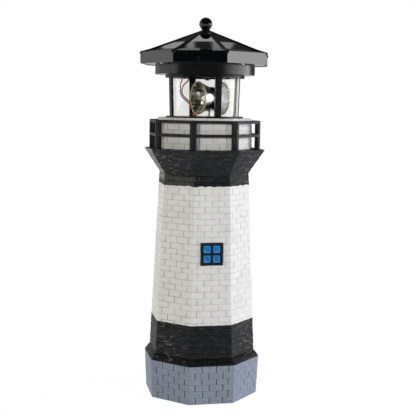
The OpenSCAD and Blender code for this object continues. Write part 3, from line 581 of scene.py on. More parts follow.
def satin_coat():
    """Pale coat on a bell's back, whose paleness is a painted reflection of the bright studio."""
    finish = Finish("satin_coat")
    paints = settings().paints
    haze = finish.noise(5 * MM, 4)
    colour = finish.shade(haze * 0.25, paints.satin_painted_reflection, 0.85)
    return finish.surface(
        finish.mix(finish.layer("rim"), colour, paints.gold),
        haze.ramp(0.35, 0.75, 0.22, 0.34),
        Metallic=0.35,
        Normal=finish.bump(finish.noise(1.6 * MM, 2), 0.02 * MM, 0.4),
    )


def facet_coat():
    """Metallised facets, each of which stands at its own small angle."""
    sizes, paints = settings().rotor, settings().paints
    finish = Finish("facet_coat")
    across, up = finish.layer("cell_x"), finish.layer("cell_y")
    cell = {"X": across.maths("FLOOR"), "Y": up.maths("FLOOR")}
    spot = finish.node("ShaderNodeCombineXYZ", None, cell)
    lots = finish.node("ShaderNodeTexWhiteNoise", None, {"Vector": spot}, "Color")
    lean_x, lean_y, tint = (
        finish.node("ShaderNodeSeparateColor", None, {0: lots}, name)
        for name in ("Red", "Green", "Blue")
    )
    x, y = across.maths("FRACT"), up.maths("FRACT")
    lean = (lean_x - 0.5) * x + (lean_y - 0.5) * y
    off = (x - 0.5).maths("ABSOLUTE").either((y - 0.5).maths("ABSOLUTE"))
    seam = off.ramp(0.32, 0.44)
    colour = finish.mix(tint.ramp(0.25, 0.75), paints.chrome, scaled(paints.gold, 0.3))
    return finish.surface(
        finish.mix(seam * 0.92, colour, scaled(paints.gold, 0.08)),
        lean_y.ramp(0, 1, 0.06, 0.16),
        Metallic=0.72,
        Normal=finish.bump(lean, sizes.facet_tilt, 1.0),
    )


def solar_glass():
    """Dark silicon with thin conductors under glass."""
    paints = settings().paints
    finish = Finish("solar_glass")
    cells = {"Vector": finish.place(), "Scale": 1 / (5 * MM)}
    crystal = finish.node("ShaderNodeTexVoronoi", None, cells, "Color")
    shade = finish.node("ShaderNodeSeparateColor", None, {0: crystal})
    finger = (finish.axis("Z") * FINGERS_PER_METRE).maths("FRACT").ramp(0.86, 0.92)
    colour = finish.shade(shade * 0.35, paints.solar, 2.2)
    return finish.surface(
        finish.mix(finger * 0.35, colour, paints.solar_line),
        finish.noise(7 * MM, 3).ramp(0.3, 0.7, 0.02, 0.06),
        Normal=finish.bump(finish.noise(30 * MM, 2), 0.02 * MM, 0.3),
        Specular_IOR_Level=0.4,
    )


def lamp_lens():
    """Cast epoxy of a light-emitting diode, warm in its depth."""
    finish = Finish("lamp_lens")
    cloud = finish.noise(1.5 * MM, 2)
    return finish.surface(
        finish.mix(cloud * 0.5, settings().paints.lens, (0.86, 0.78, 0.42)),
        cloud.ramp(0.3, 0.7, 0.08, 0.16),
        Subsurface_Weight=0.3,
        Subsurface_Radius=(0.002, 0.0015, 0.001),
        Coat_Weight=0.6,
    )


def circuit_mask():
    """Green solder mask over copper tracks."""
    finish = Finish("circuit_mask")
    track = finish.node(
        "ShaderNodeTexBrick",
        None,
        {
            "Vector": finish.place(),
            "Color1": (0, 0, 0),
            "Color2": (0.2, 0.2, 0.2),
            "Mortar": (1, 1, 1),
            "Scale": 260.0,
            "Mortar Size": 0.05,
        },
        "Fac",
    )
    speck = finish.noise(0.8 * MM, 3)
    return finish.surface(
        finish.shade(track * 0.5, settings().paints.board, 2.4),
        speck.ramp(0.3, 0.7, 0.24, 0.36),
        Normal=finish.bump(track + speck * 0.2, 0.04 * MM),
    )


def make_finishes():
    """All finishes by their name."""
    paints = settings().paints
    return {
        "cast_stone": casting_paint(),
        "raw_casting": raw_casting(),
        "window_black": brushed_black("window_black", paints.window_frame, 0.42, 0.1),
        "pane_blue": pane_paint(),
        "gallery_black": brushed_black("gallery_paint", paints.railing, 0.4, 0.4),
        "lantern_black": moulded("lantern_plastic", paints.shell, 0.22, specular=0.28),
        "frame_black": moulded("frame_plastic", paints.shell, 0.26, specular=0.12),
        "roof_black": moulded("roof_plastic", paints.shell, 0.03, 0.05),
        "clear_cylinder": clear_plastic(),
        "seal_rubber": moulded("seal_rubber_grain", paints.rubber, 0.7, 0.8, 0.3),
        "solar_cell": solar_glass(),
        "screw_steel": metal("screw_plating", paints.steel, 0.3),
        "inner_plastic": moulded("inner_moulding", paints.inner, 0.45, 0.6),
        "cell_sleeve": moulded("shrink_sleeve", paints.sleeve, 0.24, 0.2),
        "spring_steel": metal("spring_plating", paints.steel, 0.22),
        "board_green": circuit_mask(),
        "gear_plastic": moulded("gear_moulding", paints.acetal, 0.4, 0.3),
        "lead_red": moulded("red_sleeve", paints.red, 0.32, 0.2),
        "lead_black": moulded("black_sleeve", paints.dark, 0.32, 0.2),
        "drive_steel": metal("drive_plating", paints.steel, 0.26, (1, 0.1, 1)),
        "bush_brass": metal("turned_brass", paints.brass, 0.24),
        "brush_copper": metal("copper_leaf", paints.copper, 0.3),
        "reflector_chrome": mirror_coat("hub_chrome", scaled(paints.chrome, 0.5), 0.2),
        "back_chrome": mirror_coat("back_chrome", paints.chrome, 0.12),
        "facet_chrome": facet_coat(),
        # The second bell's satin coat is a painted reflection.
        "satin_coat": satin_coat(),
        "led_lens": lamp_lens(),
    }


FINISHES = {}


def finish_named(name):
    if not FINISHES:
        FINISHES.update(make_finishes())
    return FINISHES[name]


# ---- mesh helpers


def add_object(name, data):
    """Puts a mesh, a lamp or a camera into the scene."""
    made = bpy.data.objects.new(name, data)
    bpy.context.scene.collection.objects.link(made)
    return made


def add_piece(name, mesh, body, finishes, replaces=()):
    """Puts a mesh into the scene as a piece that rides on a body of the frame."""
    piece = add_object(name, mesh)
    for finish in finishes:
        mesh.materials.append(finish_named(finish))
    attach(piece, body)
    if replaces:
        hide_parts(*replaces)
    return piece


def finished_mesh(name, bm, crease=32):
    """Turns mesh code's result into a smooth mesh, sharp where it folds by crease degrees."""
    bmesh.ops.recalc_face_normals(bm, faces=bm.faces)
    for edge in bm.edges:
        if edge.is_manifold and edge.calc_face_angle(0) > math.radians(crease):
            edge.smooth = False
    for face in bm.faces:
        face.smooth = True
    mesh = bpy.data.meshes.new(name)
    bm.to_mesh(mesh)
    bm.free()
    return mesh


def made_points(result):
    """The points that one of Blender's mesh operations made."""
    return [g for g in result["geom"] if isinstance(g, bmesh.types.BMVert)]


def grid_faces(bm, grid, holes=()):
    """Adds faces between the points of a grid, but for its holes."""
    for i, (low, high) in enumerate(zip(grid, grid[1:])):
        for j in range(len(low) - 1):
            if (i, j) not in holes:
                bm.faces.new((low[j], low[j + 1], high[j + 1], high[j]))


def ring_faces(bm, rings):
    """Adds faces between each closed ring of points and the next one."""
    for first, second in zip(rings, rings[1:]):
        for i in range(len(first)):
            j = (i + 1) % len(first)
            bm.faces.new((first[i], first[j], second[j], second[i]))


def turned(bm, profile, steps):
    """Adds a form turned about Z from a closed outline of (radius, height)."""
    turns = [math.tau * i / steps for i in range(steps)]
    rings = []
    for radius, z in profile:
        rings.append([bm.verts.new((radius * math.cos(a), radius * math.sin(a), z)) for a in turns])
    ring_faces(bm, rings + rings[:1])
    return rings


def smooth_route(points, steps):
    """Points of a smooth curve that runs through a route."""
    knots = [Vector(point) for point in (points[0], *points, points[-1])]
    path = []
    for a, b, c, d in zip(knots, knots[1:], knots[2:], knots[3:]):
        path += interpolate_bezier(b, b + (c - a) / 6, c - (d - b) / 6, c, steps + 1)[:-1]
    return [*path, knots[-1]]


def tube(bm, path, radius, sides):
    """Adds a round closed tube along a path, whose ends are square to +Z or -Z."""
    rings = []
    side = Vector((1, 0, 0))
    for i, point in enumerate(path):
        if i in (0, len(path) - 1):
            along = Vector((0, 0, -1))
        else:
            along = (path[i + 1] - path[i - 1]).normalized()
        side = (side - along * side.dot(along)).normalized()
        up = along.cross(side)
        ring = []
        for k in range(sides):
            angle = math.tau * k / sides
            offset = side * math.cos(angle) + up * math.sin(angle)
            ring.append(bm.verts.new(point + offset * radius))
        rings.append(ring)
    ring_faces(bm, rings)
    bm.faces.new(rings[0][::-1])
    bm.faces.new(rings[-1])


def soften_edges(piece, width):
    """Rounds the edges of one of the frame's pieces with modifiers, which leave its mesh alone."""
    weld = piece.modifiers.new("weld", "WELD")
    weld.merge_threshold = 0.002 * MM
    flat = piece.modifiers.new("flats", "DECIMATE")
    flat.decimate_type = "DISSOLVE"
    flat.angle_limit = math.radians(1)
    bevel = piece.modifiers.new("edges", "BEVEL")
    bevel.width = width
    bevel.segments = 2
    bevel.limit_method = "ANGLE"
    bevel.angle_limit = math.radians(35)
    piece.modifiers.new("shade", "WEIGHTED_NORMAL").keep_sharp = True


# Finishes of the frame's nodes: the finish, how many millimetres the edges are rounded and
# the nodes.
DRESSING = {
    "gallery": [("gallery_black", 0.35, "gallery_railing")],
    "lantern": [
        ("frame_black", 0.3, "lantern_frame"),
        ("seal_rubber", 0, "glass_seal"),
        ("seal_rubber", 0.12, "wire_grommets"),
    ],
    "rotor": [
        ("reflector_chrome", 0.4, "reflector_hub"),
        ("led_lens", 0, "led_lamps"),
        ("drive_steel", 0, "rotor_shaft"),
        ("bush_brass", 0, "slip_ring"),
    ],
    "roof": [
        ("roof_black", 0.35, "roof_shell"),
        ("solar_cell", 0, "solar_cells"),
        ("lantern_black", 0.5, "battery_housing"),
    ],
    "inside": [
        ("screw_steel", 0, "roof_screws", "housing_screws", "board_screws"),
        ("screw_steel", 0, "plate_screws", "cover_screws"),
        ("inner_plastic", 0.25, "battery_cradle", "switch_body", "brush_block"),
        ("cell_sleeve", 0, "battery_cell"),
        ("spring_steel", 0, "battery_contacts"),
        ("board_green", 0, "circuit_board"),
        ("gear_plastic", 0.25, "switch_knob"),
        ("gear_plastic", 0, "rotor_gear", "idler_gear"),
        ("drive_steel", 0, "gear_plate", "drive_motor", "idler_pin", "motor_shaft"),
        ("lantern_black", 0, "drive_cover"),
        ("bush_brass", 0, "floor_bush", "plate_bush", "motor_pinion"),
        ("brush_copper", 0, "brushes"),
    ],
}


def dress(group):
    """Gives a group of the frame's nodes their finishes, and rounds their edges."""
    for finish, rounding, *nodes in DRESSING[group]:
        for piece in (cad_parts[node] for node in nodes):
            for i in range(len(piece.data.materials)):
                piece.data.materials[i] = finish_named(finish)
            if rounding:
                soften_edges(piece, rounding * MM)


# ---- brick tower


# Places of the upright joints on a wall, as shares of its width. A course has every second one.
PLINTH_JOINTS = (0.14, 0.3, 0.45, 0.605, 0.745, 0.875)
SHAFT_JOINTS = (0.135, 0.315, 0.5, 0.69, 0.865, 0.94)
# Half an upright joint at its floor and at its lips, its play, and the strip at a corner.
FLOOR_HALF = 0.0052
SHOULDER_HALF = 0.0125
JOINT_PLAY = 0.026
NEAR_CORNER = 0.014
# Half a bed joint at its floor and at its lips, as shares of the joint's width.
BED_FLOOR = 0.27
BED_LIP = 0.62
# Rows of points on a brick's face, as shares of its course.
FACE_ROWS = (0.35, 0.65)
BRICKS_A_WALL = 3
# Waves of noise in a metre: on a brick's face, along the joints and in a bed's sway.
GRAIN_WAVES = 420
JOINT_WAVES = 110
SWAY_WAVES = 60
# How much rubbed grey the deck's edge gets: dry-brush wear, and painted highlight on the lit ledge.
DECK_EDGE_WEAR_AND_HIGHLIGHT = 0.8
CORNER_EDGE_WEAR = 0.7
SOCKET_EASE = 0.8 * MM


def column_plan(joints):
    """Columns of the brick grid on one wall: (place, joint index or -1, role)."""
    columns = [(0.0, -1, "corner"), (NEAR_CORNER, -1, "side")]
    for j, middle in enumerate(joints):
        columns.append(((middle + (joints[j - 1] if j else 0)) / 2, -1, "face"))
        for half in (-SHOULDER_HALF, -FLOOR_HALF, FLOOR_HALF, SHOULDER_HALF):
            columns.append((middle + half, j, "floor" if abs(half) == FLOOR_HALF else "lip"))
    columns.append((1 - NEAR_CORNER, -1, "side"))
    return columns


def row_plan(rng):
    """Rows of the brick grid: (height, corner radius, share in a bed, share on a lip, course)."""
    sizes, bricks = settings().tower, settings().bricks
    shaft_z, flare_z, rim_z, deck_z = levels()
    heights = (0, sizes.plinth_h, shaft_z, flare_z, rim_z)
    radii = (
        sizes.plinth_foot_r, sizes.plinth_top_r, sizes.shaft_foot_r, sizes.shaft_top_r, sizes.deck_r
    )
    stretches = (
        (0, sizes.plinth_h, bricks.plinth_courses),
        (sizes.plinth_h, rim_z, bricks.shaft_courses),
        (deck_z, deck_z + sizes.drum_h, bricks.drum_courses),
    )
    floor, lip = bricks.joint_w * BED_FLOOR, bricks.joint_w * BED_LIP
    rows, course = [], 0
    for foot, top, courses in stretches:
        beds = foot + (top - foot) * np.arange(courses + 1) / courses
        beds[1:-1] += (rng.random(courses - 1) - 0.5) * bricks.uneven
        for c in range(courses):
            low, tall = beds[c], beds[c + 1] - beds[c]
            marks = [(tall * share, 0, 0) for share in FACE_ROWS]
            if c:
                marks += [(floor, 1, 0), (lip, 0, 1)]
            elif foot != sizes.plinth_h:
                marks.append((0, 0, 0))
            if c == courses - 1:
                marks.append((tall, 0, 0))
            else:
                marks += [(tall - lip, 0, 1), (tall - floor, 1, 0)]
            for kink in (shaft_z, flare_z):
                if lip < kink - low < tall - lip:
                    marks.append((kink - low, 0, 0))
            for rise, bed, lips in sorted(marks):
                z = low + rise
                radius = sizes.drum_r if foot == deck_z else np.interp(z, heights, radii)
                rows.append((z, radius, bed, lips, course))
            course += 1
    return rows, course


def way(angle):
    """The level direction at an angle from +X."""
    return Vector((math.cos(angle), math.sin(angle), 0))


def brick_rings(rng):
    """Rings of points up the brickwork, and the values that they carry."""
    bricks = settings().bricks
    plinth_columns, shaft_columns = column_plan(PLINTH_JOINTS), column_plan(SHAFT_JOINTS)
    level_rows = (0, levels()[3])
    rows, courses = row_plan(rng)
    wide = len(shaft_columns) * SIDES
    out_of_line = rng.random((courses, BRICKS_A_WALL * SIDES))
    tones = rng.random((courses, BRICKS_A_WALL * SIDES))
    shifts = (rng.random((courses, SIDES, len(SHAFT_JOINTS))) - 0.5) * JOINT_PLAY
    points = np.zeros((len(rows), wide, 3))
    layers = {name: np.zeros((len(rows), wide)) for name in BRICK_LAYERS}
    half = math.pi / SIDES
    for r, (z, radius, bed, lips, course) in enumerate(rows):
        parity = course % 2
        on_plinth = course < bricks.plinth_courses
        columns = plinth_columns if on_plinth else shaft_columns
        joints = PLINTH_JOINTS if on_plinth else SHAFT_JOINTS[:-1]
        marks = joints[parity::2]
        for face in range(SIDES):
            middle = -math.pi / 2 + face * math.tau / SIDES
            start, normal, stop = way(middle - half), way(middle), way(middle + half)
            for c, (place, joint, role) in enumerate(columns):
                along = place + (shifts[course, face, joint] if joint >= 0 else 0)
                active = 0 <= joint < len(joints) and joint % 2 == parity
                head = 1.0 if active and role == "floor" else 0.0
                lip = 1.0 if active and role == "lip" else 0.0
                passed = sum(along > mark for mark in marks)
                brick = (BRICKS_A_WALL * face + passed) % tones.shape[1]
                spot = (start * (1 - along) + stop * along) * radius
                rough = noise.noise(spot * GRAIN_WAVES + Vector((0, 0, z * GRAIN_WAVES)))
                coarse = noise.noise(spot * JOINT_WAVES + Vector((7, 3, z * JOINT_WAVES)))
                in_joint = max(bed, head)
                edge = max(lips, lip) * (1 - in_joint)
                depth = in_joint * bricks.joint_depth * (0.9 + 0.4 * coarse)
                on_brick = out_of_line[course, brick] * bricks.set_back
                on_brick += edge * 0.1 * MM + (0.5 + 0.5 * rough) * bricks.grain
                depth += (1 - in_joint) * on_brick
                if role == "corner":
                    spot -= start * ((depth + bricks.corner_wear) / FLAT)
                    edge = max(edge, CORNER_EDGE_WEAR * (1 - in_joint))
                else:
                    spot -= normal * depth
                sway = noise.noise(Vector((spot.x * SWAY_WAVES, spot.y * SWAY_WAVES, course * 3.1)))
                lift = 0 if z in level_rows else sway * bricks.sway
                k = face * len(columns) + c
                points[r, k] = (spot.x, spot.y, z + lift)
                for name, value in zip(layers, (bed, head, edge, tones[course, brick])):
                    layers[name][r, k] = value
    return points, layers


def round_ring(like, radius, z):
    """A ring of points on a circle, at the angles of another ring's points."""
    turns = np.arctan2(like[:, 1], like[:, 0])
    return np.column_stack((radius * np.cos(turns), radius * np.sin(turns), 0 * turns + z))


def build_casting():
    """The hollow casting: brickwork outside, the socket on top and the hollow below."""
    sizes = settings().tower
    shaft_z, flare_z, _, deck_z = levels()
    points, layers = brick_rings(np.random.default_rng(7))
    split = int(np.argmax(points[:, 0, 2] >= deck_z - 1e-6))
    deck_edge = points[split - 1].copy()
    deck_edge[:, 2] = deck_z
    drum_z = deck_z + sizes.drum_h
    socket_z = drum_z - sizes.socket_depth
    foot_in, low_in, top_in = (
        radius * FLAT - sizes.cavity_wall
        for radius in (sizes.plinth_foot_r, sizes.shaft_foot_r, sizes.shaft_top_r)
    )
    hollow = (
        (top_in, socket_z - sizes.cavity_roof),
        (top_in, flare_z),
        (low_in, shaft_z),
        (foot_in, sizes.plinth_h),
        (foot_in, 0),
    )
    socket = (
        (sizes.socket_r + SOCKET_EASE, drum_z),
        (sizes.socket_r, drum_z - SOCKET_EASE),
        (sizes.socket_r, socket_z),
    )
    like = points[0]
    below = [round_ring(like, radius, z) for radius, z in hollow]
    above = [round_ring(like, radius, z) for radius, z in socket]
    verts = np.concatenate([*below, *points[:split], deck_edge, *points[split:], *above])
    verts = np.vstack([verts, (0, 0, hollow[0][1]), (0, 0, socket_z)])
    wide = len(like)
    tall = len(verts) // wide
    faces, raw = [], []
    for r in range(tall - 1):
        low, high = r * wide, (r + 1) * wide
        for k in range(wide):
            j = (k + 1) % wide
            faces.append((low + k, low + j, high + j, high + k))
        raw += [r < len(below) - 1 or r >= tall - len(above)] * wide
    roof_middle, socket_middle, top = tall * wide, tall * wide + 1, (tall - 1) * wide
    for k in range(wide):
        j = (k + 1) % wide
        faces += [(k, roof_middle, j), (top + k, top + j, socket_middle)]
        raw += [True, True]
    mesh = bpy.data.meshes.new("plain_tower")
    mesh.from_pydata(verts.tolist(), [], faces)
    blank = [np.zeros(wide)]
    for name, rows in layers.items():
        deck = [blank[0] + DECK_EDGE_WEAR_AND_HIGHLIGHT] if name == "edge" else blank
        inner, outer = blank * len(below), blank * len(above)
        values = np.concatenate([*inner, *rows[:split], *deck, *rows[split:], *outer, (0, 0)])
        layer = mesh.attributes.new(name, "FLOAT", "POINT")
        layer.data.foreach_set("value", values.astype(np.float32))
    mesh.polygons.foreach_set("material_index", np.array(raw, np.int32))
    bm = bmesh.new()
    bm.from_mesh(mesh)
    bpy.data.meshes.remove(mesh)
    mesh = finished_mesh("brick_tower", bm, 50)
    finishes = ("cast_stone", "raw_casting")
    tower = add_piece("brick_tower", mesh, "tower", finishes, ["tower_casting"])
    tower.modifiers.new("shade", "WEIGHTED_NORMAL").keep_sharp = True


# ---- window


PANE_STEPS = 12
PANE_LAP = 0.3 * MM
# Waves of noise in a metre: on the frame's face and along its bars.
FRAME_GRAIN = 500
FRAME_SWAY = 160

def wall_place(height):
    """Where the wall that faces -Y is at a height: X right, Y up the wall and Z out of it."""
    sizes = settings().tower
    fall = sizes.shaft_foot_r - sizes.shaft_top_r
    radius = sizes.shaft_foot_r - fall * (height - levels()[0]) / sizes.shaft_h
    lean = math.atan(fall * FLAT / sizes.shaft_h)
    spot = Matrix.Translation((0, -radius * FLAT, height))
    return spot @ Matrix.Rotation(math.pi / 2 - lean, 4, "X")


def build_window_frame():
    """The cast frame: four bars and a cross of muntins, rounded as a casting is."""
    sizes = settings().window
    half, inner, bar = sizes.side / 2, sizes.side / 2 - sizes.bar_w, sizes.muntin_w / 2
    lines = (-half, -inner, -bar, bar, inner, half)
    bm = bmesh.new()
    grid = [[bm.verts.new((x, y, -sizes.sunk)) for x in lines] for y in lines]
    grid_faces(bm, grid, [(i, j) for i in (1, 3) for j in (1, 3)])
    top = made_points(bmesh.ops.extrude_face_region(bm, geom=bm.faces[:]))
    bmesh.ops.translate(bm, vec=(0, 0, sizes.sunk + sizes.relief), verts=top)
    bmesh.ops.recalc_face_normals(bm, faces=bm.faces)
    sharp = [e for e in bm.edges if e.calc_face_angle(0) > 1]
    bmesh.ops.bevel(
        bm, geom=sharp, offset=0.4 * MM, segments=3, affect="EDGES", profile=0.5, clamp_overlap=True
    )
    long = [e for e in bm.edges if e.calc_length() > 1.5 * MM]
    bmesh.ops.subdivide_edges(bm, edges=long, cuts=2, use_grid_fill=True)
    for v in bm.verts:
        v.co.z -= (0.5 + 0.5 * noise.noise(v.co * FRAME_GRAIN)) * 0.16 * MM
        v.co.x += noise.noise(v.co * FRAME_SWAY + Vector((5, 0, 0))) * 0.15 * MM
        v.co.y += noise.noise(v.co * FRAME_SWAY + Vector((0, 9, 0))) * 0.15 * MM
    bmesh.ops.transform(bm, matrix=wall_place(sizes.middle_z), verts=bm.verts)
    mesh = finished_mesh("window_frame", bm, 50)
    add_piece("window_frame", mesh, "tower", ("window_black",))


def build_panes():
    """Four domed panes, each brushed blue."""
    sizes = settings().window
    opening = (sizes.side - 2 * sizes.bar_w - sizes.muntin_w) / 2
    pane = opening + PANE_LAP
    steps = [2 * i / PANE_STEPS - 1 for i in range(PANE_STEPS + 1)]
    bm = bmesh.new()
    rim = bm.verts.layers.float.new("rim")
    for sx, sy in ((-1, -1), (-1, 1), (1, -1), (1, 1)):
        middle = Vector((sx, sy, 0)) * ((opening + sizes.muntin_w) / 2)
        grid = []
        for y in steps:
            grid.append([])
            for x in steps:
                dome = 1 - 0.42 * (x * x + y * y) / 2 - 0.35 * (x**4 + y**4) / 2
                lumps = noise.noise(Vector((x * 2 + sx * 5, y * 2 + sy * 5, 0))) * 0.12 * MM
                up = sizes.pane_relief * dome + lumps
                v = bm.verts.new(middle + Vector((x * pane / 2, y * pane / 2, up)))
                v[rim] = max(abs(x), abs(y))
                grid[-1].append(v)
        grid_faces(bm, grid)
    border = [e for e in bm.edges if e.is_boundary]
    for v in made_points(bmesh.ops.extrude_edge_only(bm, edges=border)):
        v.co.z = -0.8 * sizes.sunk
    bmesh.ops.contextual_create(bm, geom=[e for e in bm.edges if e.is_boundary])
    bmesh.ops.transform(bm, matrix=wall_place(sizes.middle_z), verts=bm.verts)
    mesh = finished_mesh("window_panes", bm, 60)
    add_piece("window_panes", mesh, "tower", ("pane_blue",))


# ---- lantern


# Routes of the leads above the lantern's floor, in millimetres, before the head's turn.
RED_ROUTE = (
    (-17.2, 18.2, 38.3), (-17.4, 18.3, 34.4), (-18.8, 17.8, 30.4), (-19.3, 17.4, 24.9),
    (-17.8, 18.4, 19.1), (-13, 20, 14.9), (-8, 21.6, 10.4), (-4.6, 23.1, 5.5), (-3.5, 23.6, 0.6),
)
BLACK_ROUTE = (
    (-9.5, 17.8, 38.3), (-10.8, 18.2, 34.4), (-15.3, 18.7, 29.9), (-17.1, 19, 25.5),
    (-16.3, 19.7, 20.4), (-11.8, 21.6, 16.3), (-6.6, 23.2, 11.9), (-2.2, 24.2, 6.1),
    (-1, 24.6, 0.6),
)
CYLINDER_STEPS = 160
LEAD_STEPS = 8
LEAD_SIDES = 14


def build_clear_cylinder():
    """The clear cylinder, a little wider at its top, with eased rims."""
    sizes = settings().head
    wall, ease = sizes.glass_wall, 0.2 * MM
    low, high, tall = sizes.glass_foot_r, sizes.glass_top_r, sizes.glass_h
    profile = (
        (low - ease, 0),
        (low, ease),
        (high, tall - ease),
        (high - ease, tall),
        (high - wall + ease, tall),
        (high - wall, tall - ease),
        (low - wall, ease),
        (low - wall + ease, 0),
    )
    name = "clear_cylinder"
    bm = bmesh.new()
    turned(bm, profile, CYLINDER_STEPS)
    bmesh.ops.translate(bm, vec=(0, 0, floor_z()), verts=bm.verts)
    add_piece(name, finished_mesh(name, bm), "head", (name,), ["lantern_glass"])


def build_lead(name, route, finish):
    """One lead between its two grommets, inside the clear cylinder."""
    sizes = settings().head
    spin = Matrix.Rotation(sizes.turn, 4, "Z")
    lift = Vector((0, 0, floor_z()))
    path = [spin @ (p * MM) + lift for p in smooth_route(route, LEAD_STEPS)]
    bm = bmesh.new()
    tube(bm, path, sizes.lead_r, LEAD_SIDES)
    mesh = finished_mesh(name, bm, 60)
    add_piece(name + "_sleeve", mesh, "head", (finish,), [name])


# ---- rotor


# Steps of a reflector's outline on its back, over its rim and down its bowl, and round it.
BACK_STEPS = 5
RIM_STEPS = 6
BOWL_STEPS = 20
ROUND_STEPS = 96

def reflector_place(side):
    """Place of a reflector: its own +Z points out of its bowl. side is 0 or 1."""
    head, sizes = settings().head, settings().rotor
    middle = way(head.turn + sizes.offset_turn) * sizes.offset
    middle.z = floor_z() + sizes.axis_h
    facing = head.turn + sizes.facing + side * math.pi
    turn_out = Matrix.Rotation(facing, 4, "Z") @ Matrix.Rotation(math.pi / 2, 4, "Y")
    return Matrix.Translation(middle) @ turn_out


def reflector_profile():
    """Outline of a reflector, its back first, and where its rim and its bowl begin in it."""
    sizes = settings().rotor
    half_hub, lip = sizes.hub_w / 2, sizes.rim_lip
    hole, mouth = sizes.lamp_hole_r, sizes.rim_r - lip
    lip_foot = sizes.rim_reach - lip
    profile = [(hole, half_hub)]
    for k in range(BACK_STEPS + 1):
        t = k / BACK_STEPS
        radius = sizes.back_r + (mouth + sizes.wall - sizes.back_r) * t**1.2
        profile.append((radius, half_hub + (lip_foot - half_hub) * t))
    rim_start = len(profile) - 1
    for k in range(RIM_STEPS + 1):
        angle = math.pi * k / RIM_STEPS
        radius = (sizes.rim_r + mouth) / 2 + math.cos(angle) * lip / 2
        profile.append((radius, lip_foot + math.sin(angle) * lip))
    bowl_start = len(profile) - 1
    for k in range(1, BOWL_STEPS + 1):
        radius = mouth + (hole - mouth) * k / BOWL_STEPS
        profile.append((radius, bowl_height(radius)))
    return profile, rim_start, bowl_start


def bowl_height(radius):
    """How far out the bowl's surface is at a radius."""
    sizes = settings().rotor
    hole, mouth = sizes.lamp_hole_r, sizes.rim_r - sizes.rim_lip
    low, high = sizes.hub_w / 2 + sizes.floor_over_hub, sizes.rim_reach - sizes.rim_lip
    return low + (high - low) * (radius**2 - hole**2) / (mouth**2 - hole**2)


def cut_facets(bm, faces, rng):
    """Cuts the bowl's faces along a square grid and lets each facet bulge."""
    sizes = settings().rotor
    cell, mouth = sizes.facet, sizes.rim_r - sizes.rim_lip
    reach, margin = math.ceil(mouth / cell), 0.05 * MM
    cell_x, cell_y = bm.verts.layers.float["cell_x"], bm.verts.layers.float["cell_y"]
    edges = {e for f in faces for e in f.edges}
    geom = [*faces, *edges, *{v for e in edges for v in e.verts}]
    for normal in ((1, 0, 0), (0, 1, 0)):
        for k in range(-reach, reach):
            spot = Vector(normal) * (k + 0.5) * cell
            cut = bmesh.ops.bisect_plane(bm, geom=geom, dist=1e-7, plane_co=spot, plane_no=normal)
            geom = cut["geom"]
    lean = {}
    for v in made_points(cut):
        x, y = v.co.x / cell + 0.5, v.co.y / cell + 0.5
        radius = v.co.xy.length
        v[cell_x], v[cell_y] = x, y
        if not sizes.lamp_hole_r + margin < radius < mouth - margin:
            continue
        key = (math.floor(x), math.floor(y))
        sway = lean.setdefault(key, rng.random(2) - 0.5)
        u, w = x - key[0], y - key[1]
        bulge = 16 * u * (1 - u) * w * (1 - w) * (1 + (2 * u - 1) * sway[0] + (2 * w - 1) * sway[1])
        v.co.z = bowl_height(radius) + bulge * sizes.facet_crown
    for e in (g for g in geom if isinstance(g, bmesh.types.BMEdge)):
        for layer in (cell_x, cell_y):
            first, last = e.verts[0][layer], e.verts[1][layer]
            if abs(first - round(first)) < 1e-3 and abs(first - last) < 1e-3:
                e.smooth = False


def build_reflectors():
    """Two mirrored bells, each with a grid of crowned facets in its bowl and a rolled rim."""
    profile, rim_start, bowl_start = reflector_profile()
    rng = np.random.default_rng(11)
    both = bmesh.new()
    for side in (0, 1):
        bm = bmesh.new()
        for name in ("rim", "cell_x", "cell_y"):
            bm.verts.layers.float.new(name)
        rim = bm.verts.layers.float["rim"]
        rings = turned(bm, profile, ROUND_STEPS)
        for v in (v for ring in rings[rim_start : bowl_start + 1] for v in ring):
            v[rim] = 1
        bowl = {v for ring in rings[bowl_start:] for v in ring}
        faces = [f for f in bm.faces if all(v in bowl for v in f.verts)]
        for face in bm.faces:
            # The second bell's back takes the pale coat, a painted reflection; the first bell's
            # back keeps chrome.
            face.material_index = 2 * side
        for face in faces:
            face.material_index = 1
        cut_facets(bm, faces, rng)
        bmesh.ops.transform(bm, matrix=reflector_place(side), verts=bm.verts)
        half = finished_mesh("reflector_half", bm, 40)
        both.from_mesh(half)
        bpy.data.meshes.remove(half)
    mesh = bpy.data.meshes.new("faceted_reflectors")
    both.to_mesh(mesh)
    both.free()
    finishes = ("back_chrome", "facet_chrome", "satin_coat")
    add_piece(
        "faceted_reflectors", mesh, "rotor", finishes, ["reflectors"]
    )


# ---- stage


CLIPPING = (0.01, 100)
SEEN_RAYS = ("Camera", "Glossy", "Transmission")
# Light from the world on all that isn't seen or mirrored.
AMBIENT = 0.06
# Cards that the roof and the collar mirror, as shares of a mirrored ray to the right and
# upwards: left, right, low, high and strength.
CARDS = (
    (-0.06, 0.03, 0.66, 0.69, 1.4),
    (-0.0425, -0.0345, 0.635, 0.658, 1.0),
    (-0.015, 0.03, 0.635, 0.658, 0.9),
    (0.1, 0.131, 0.46, 0.481, 0.65),
    (-0.1505, -0.1, 0.37, 0.398, 0.65),
    (-0.06, 0.03, 0.45, 0.462, 0.35),
)
CARD_EDGE = 0.002
# Lamps: degrees from the camera's side to the right, height, watts, width, height and colour.
LAMPS = (
    ("right_lamp", 95, 0.25, 25.2, 0.8, 1.1, (0.98, 0.975, 1)),
    ("fill_lamp", 50, 0.35, 4.2, 0.2, 0.2, (0.96, 0.96, 1)),
    ("left_lamp", -118, 0.4, 15.8, 1.2, 1.5, (1, 1, 0.92)),
    ("key_lamp", -24, 0.4, 8.7, 0.15, 0.15, (1, 1, 0.92)),
)
LAMP_AIM = Vector((0, 0, 0.2))


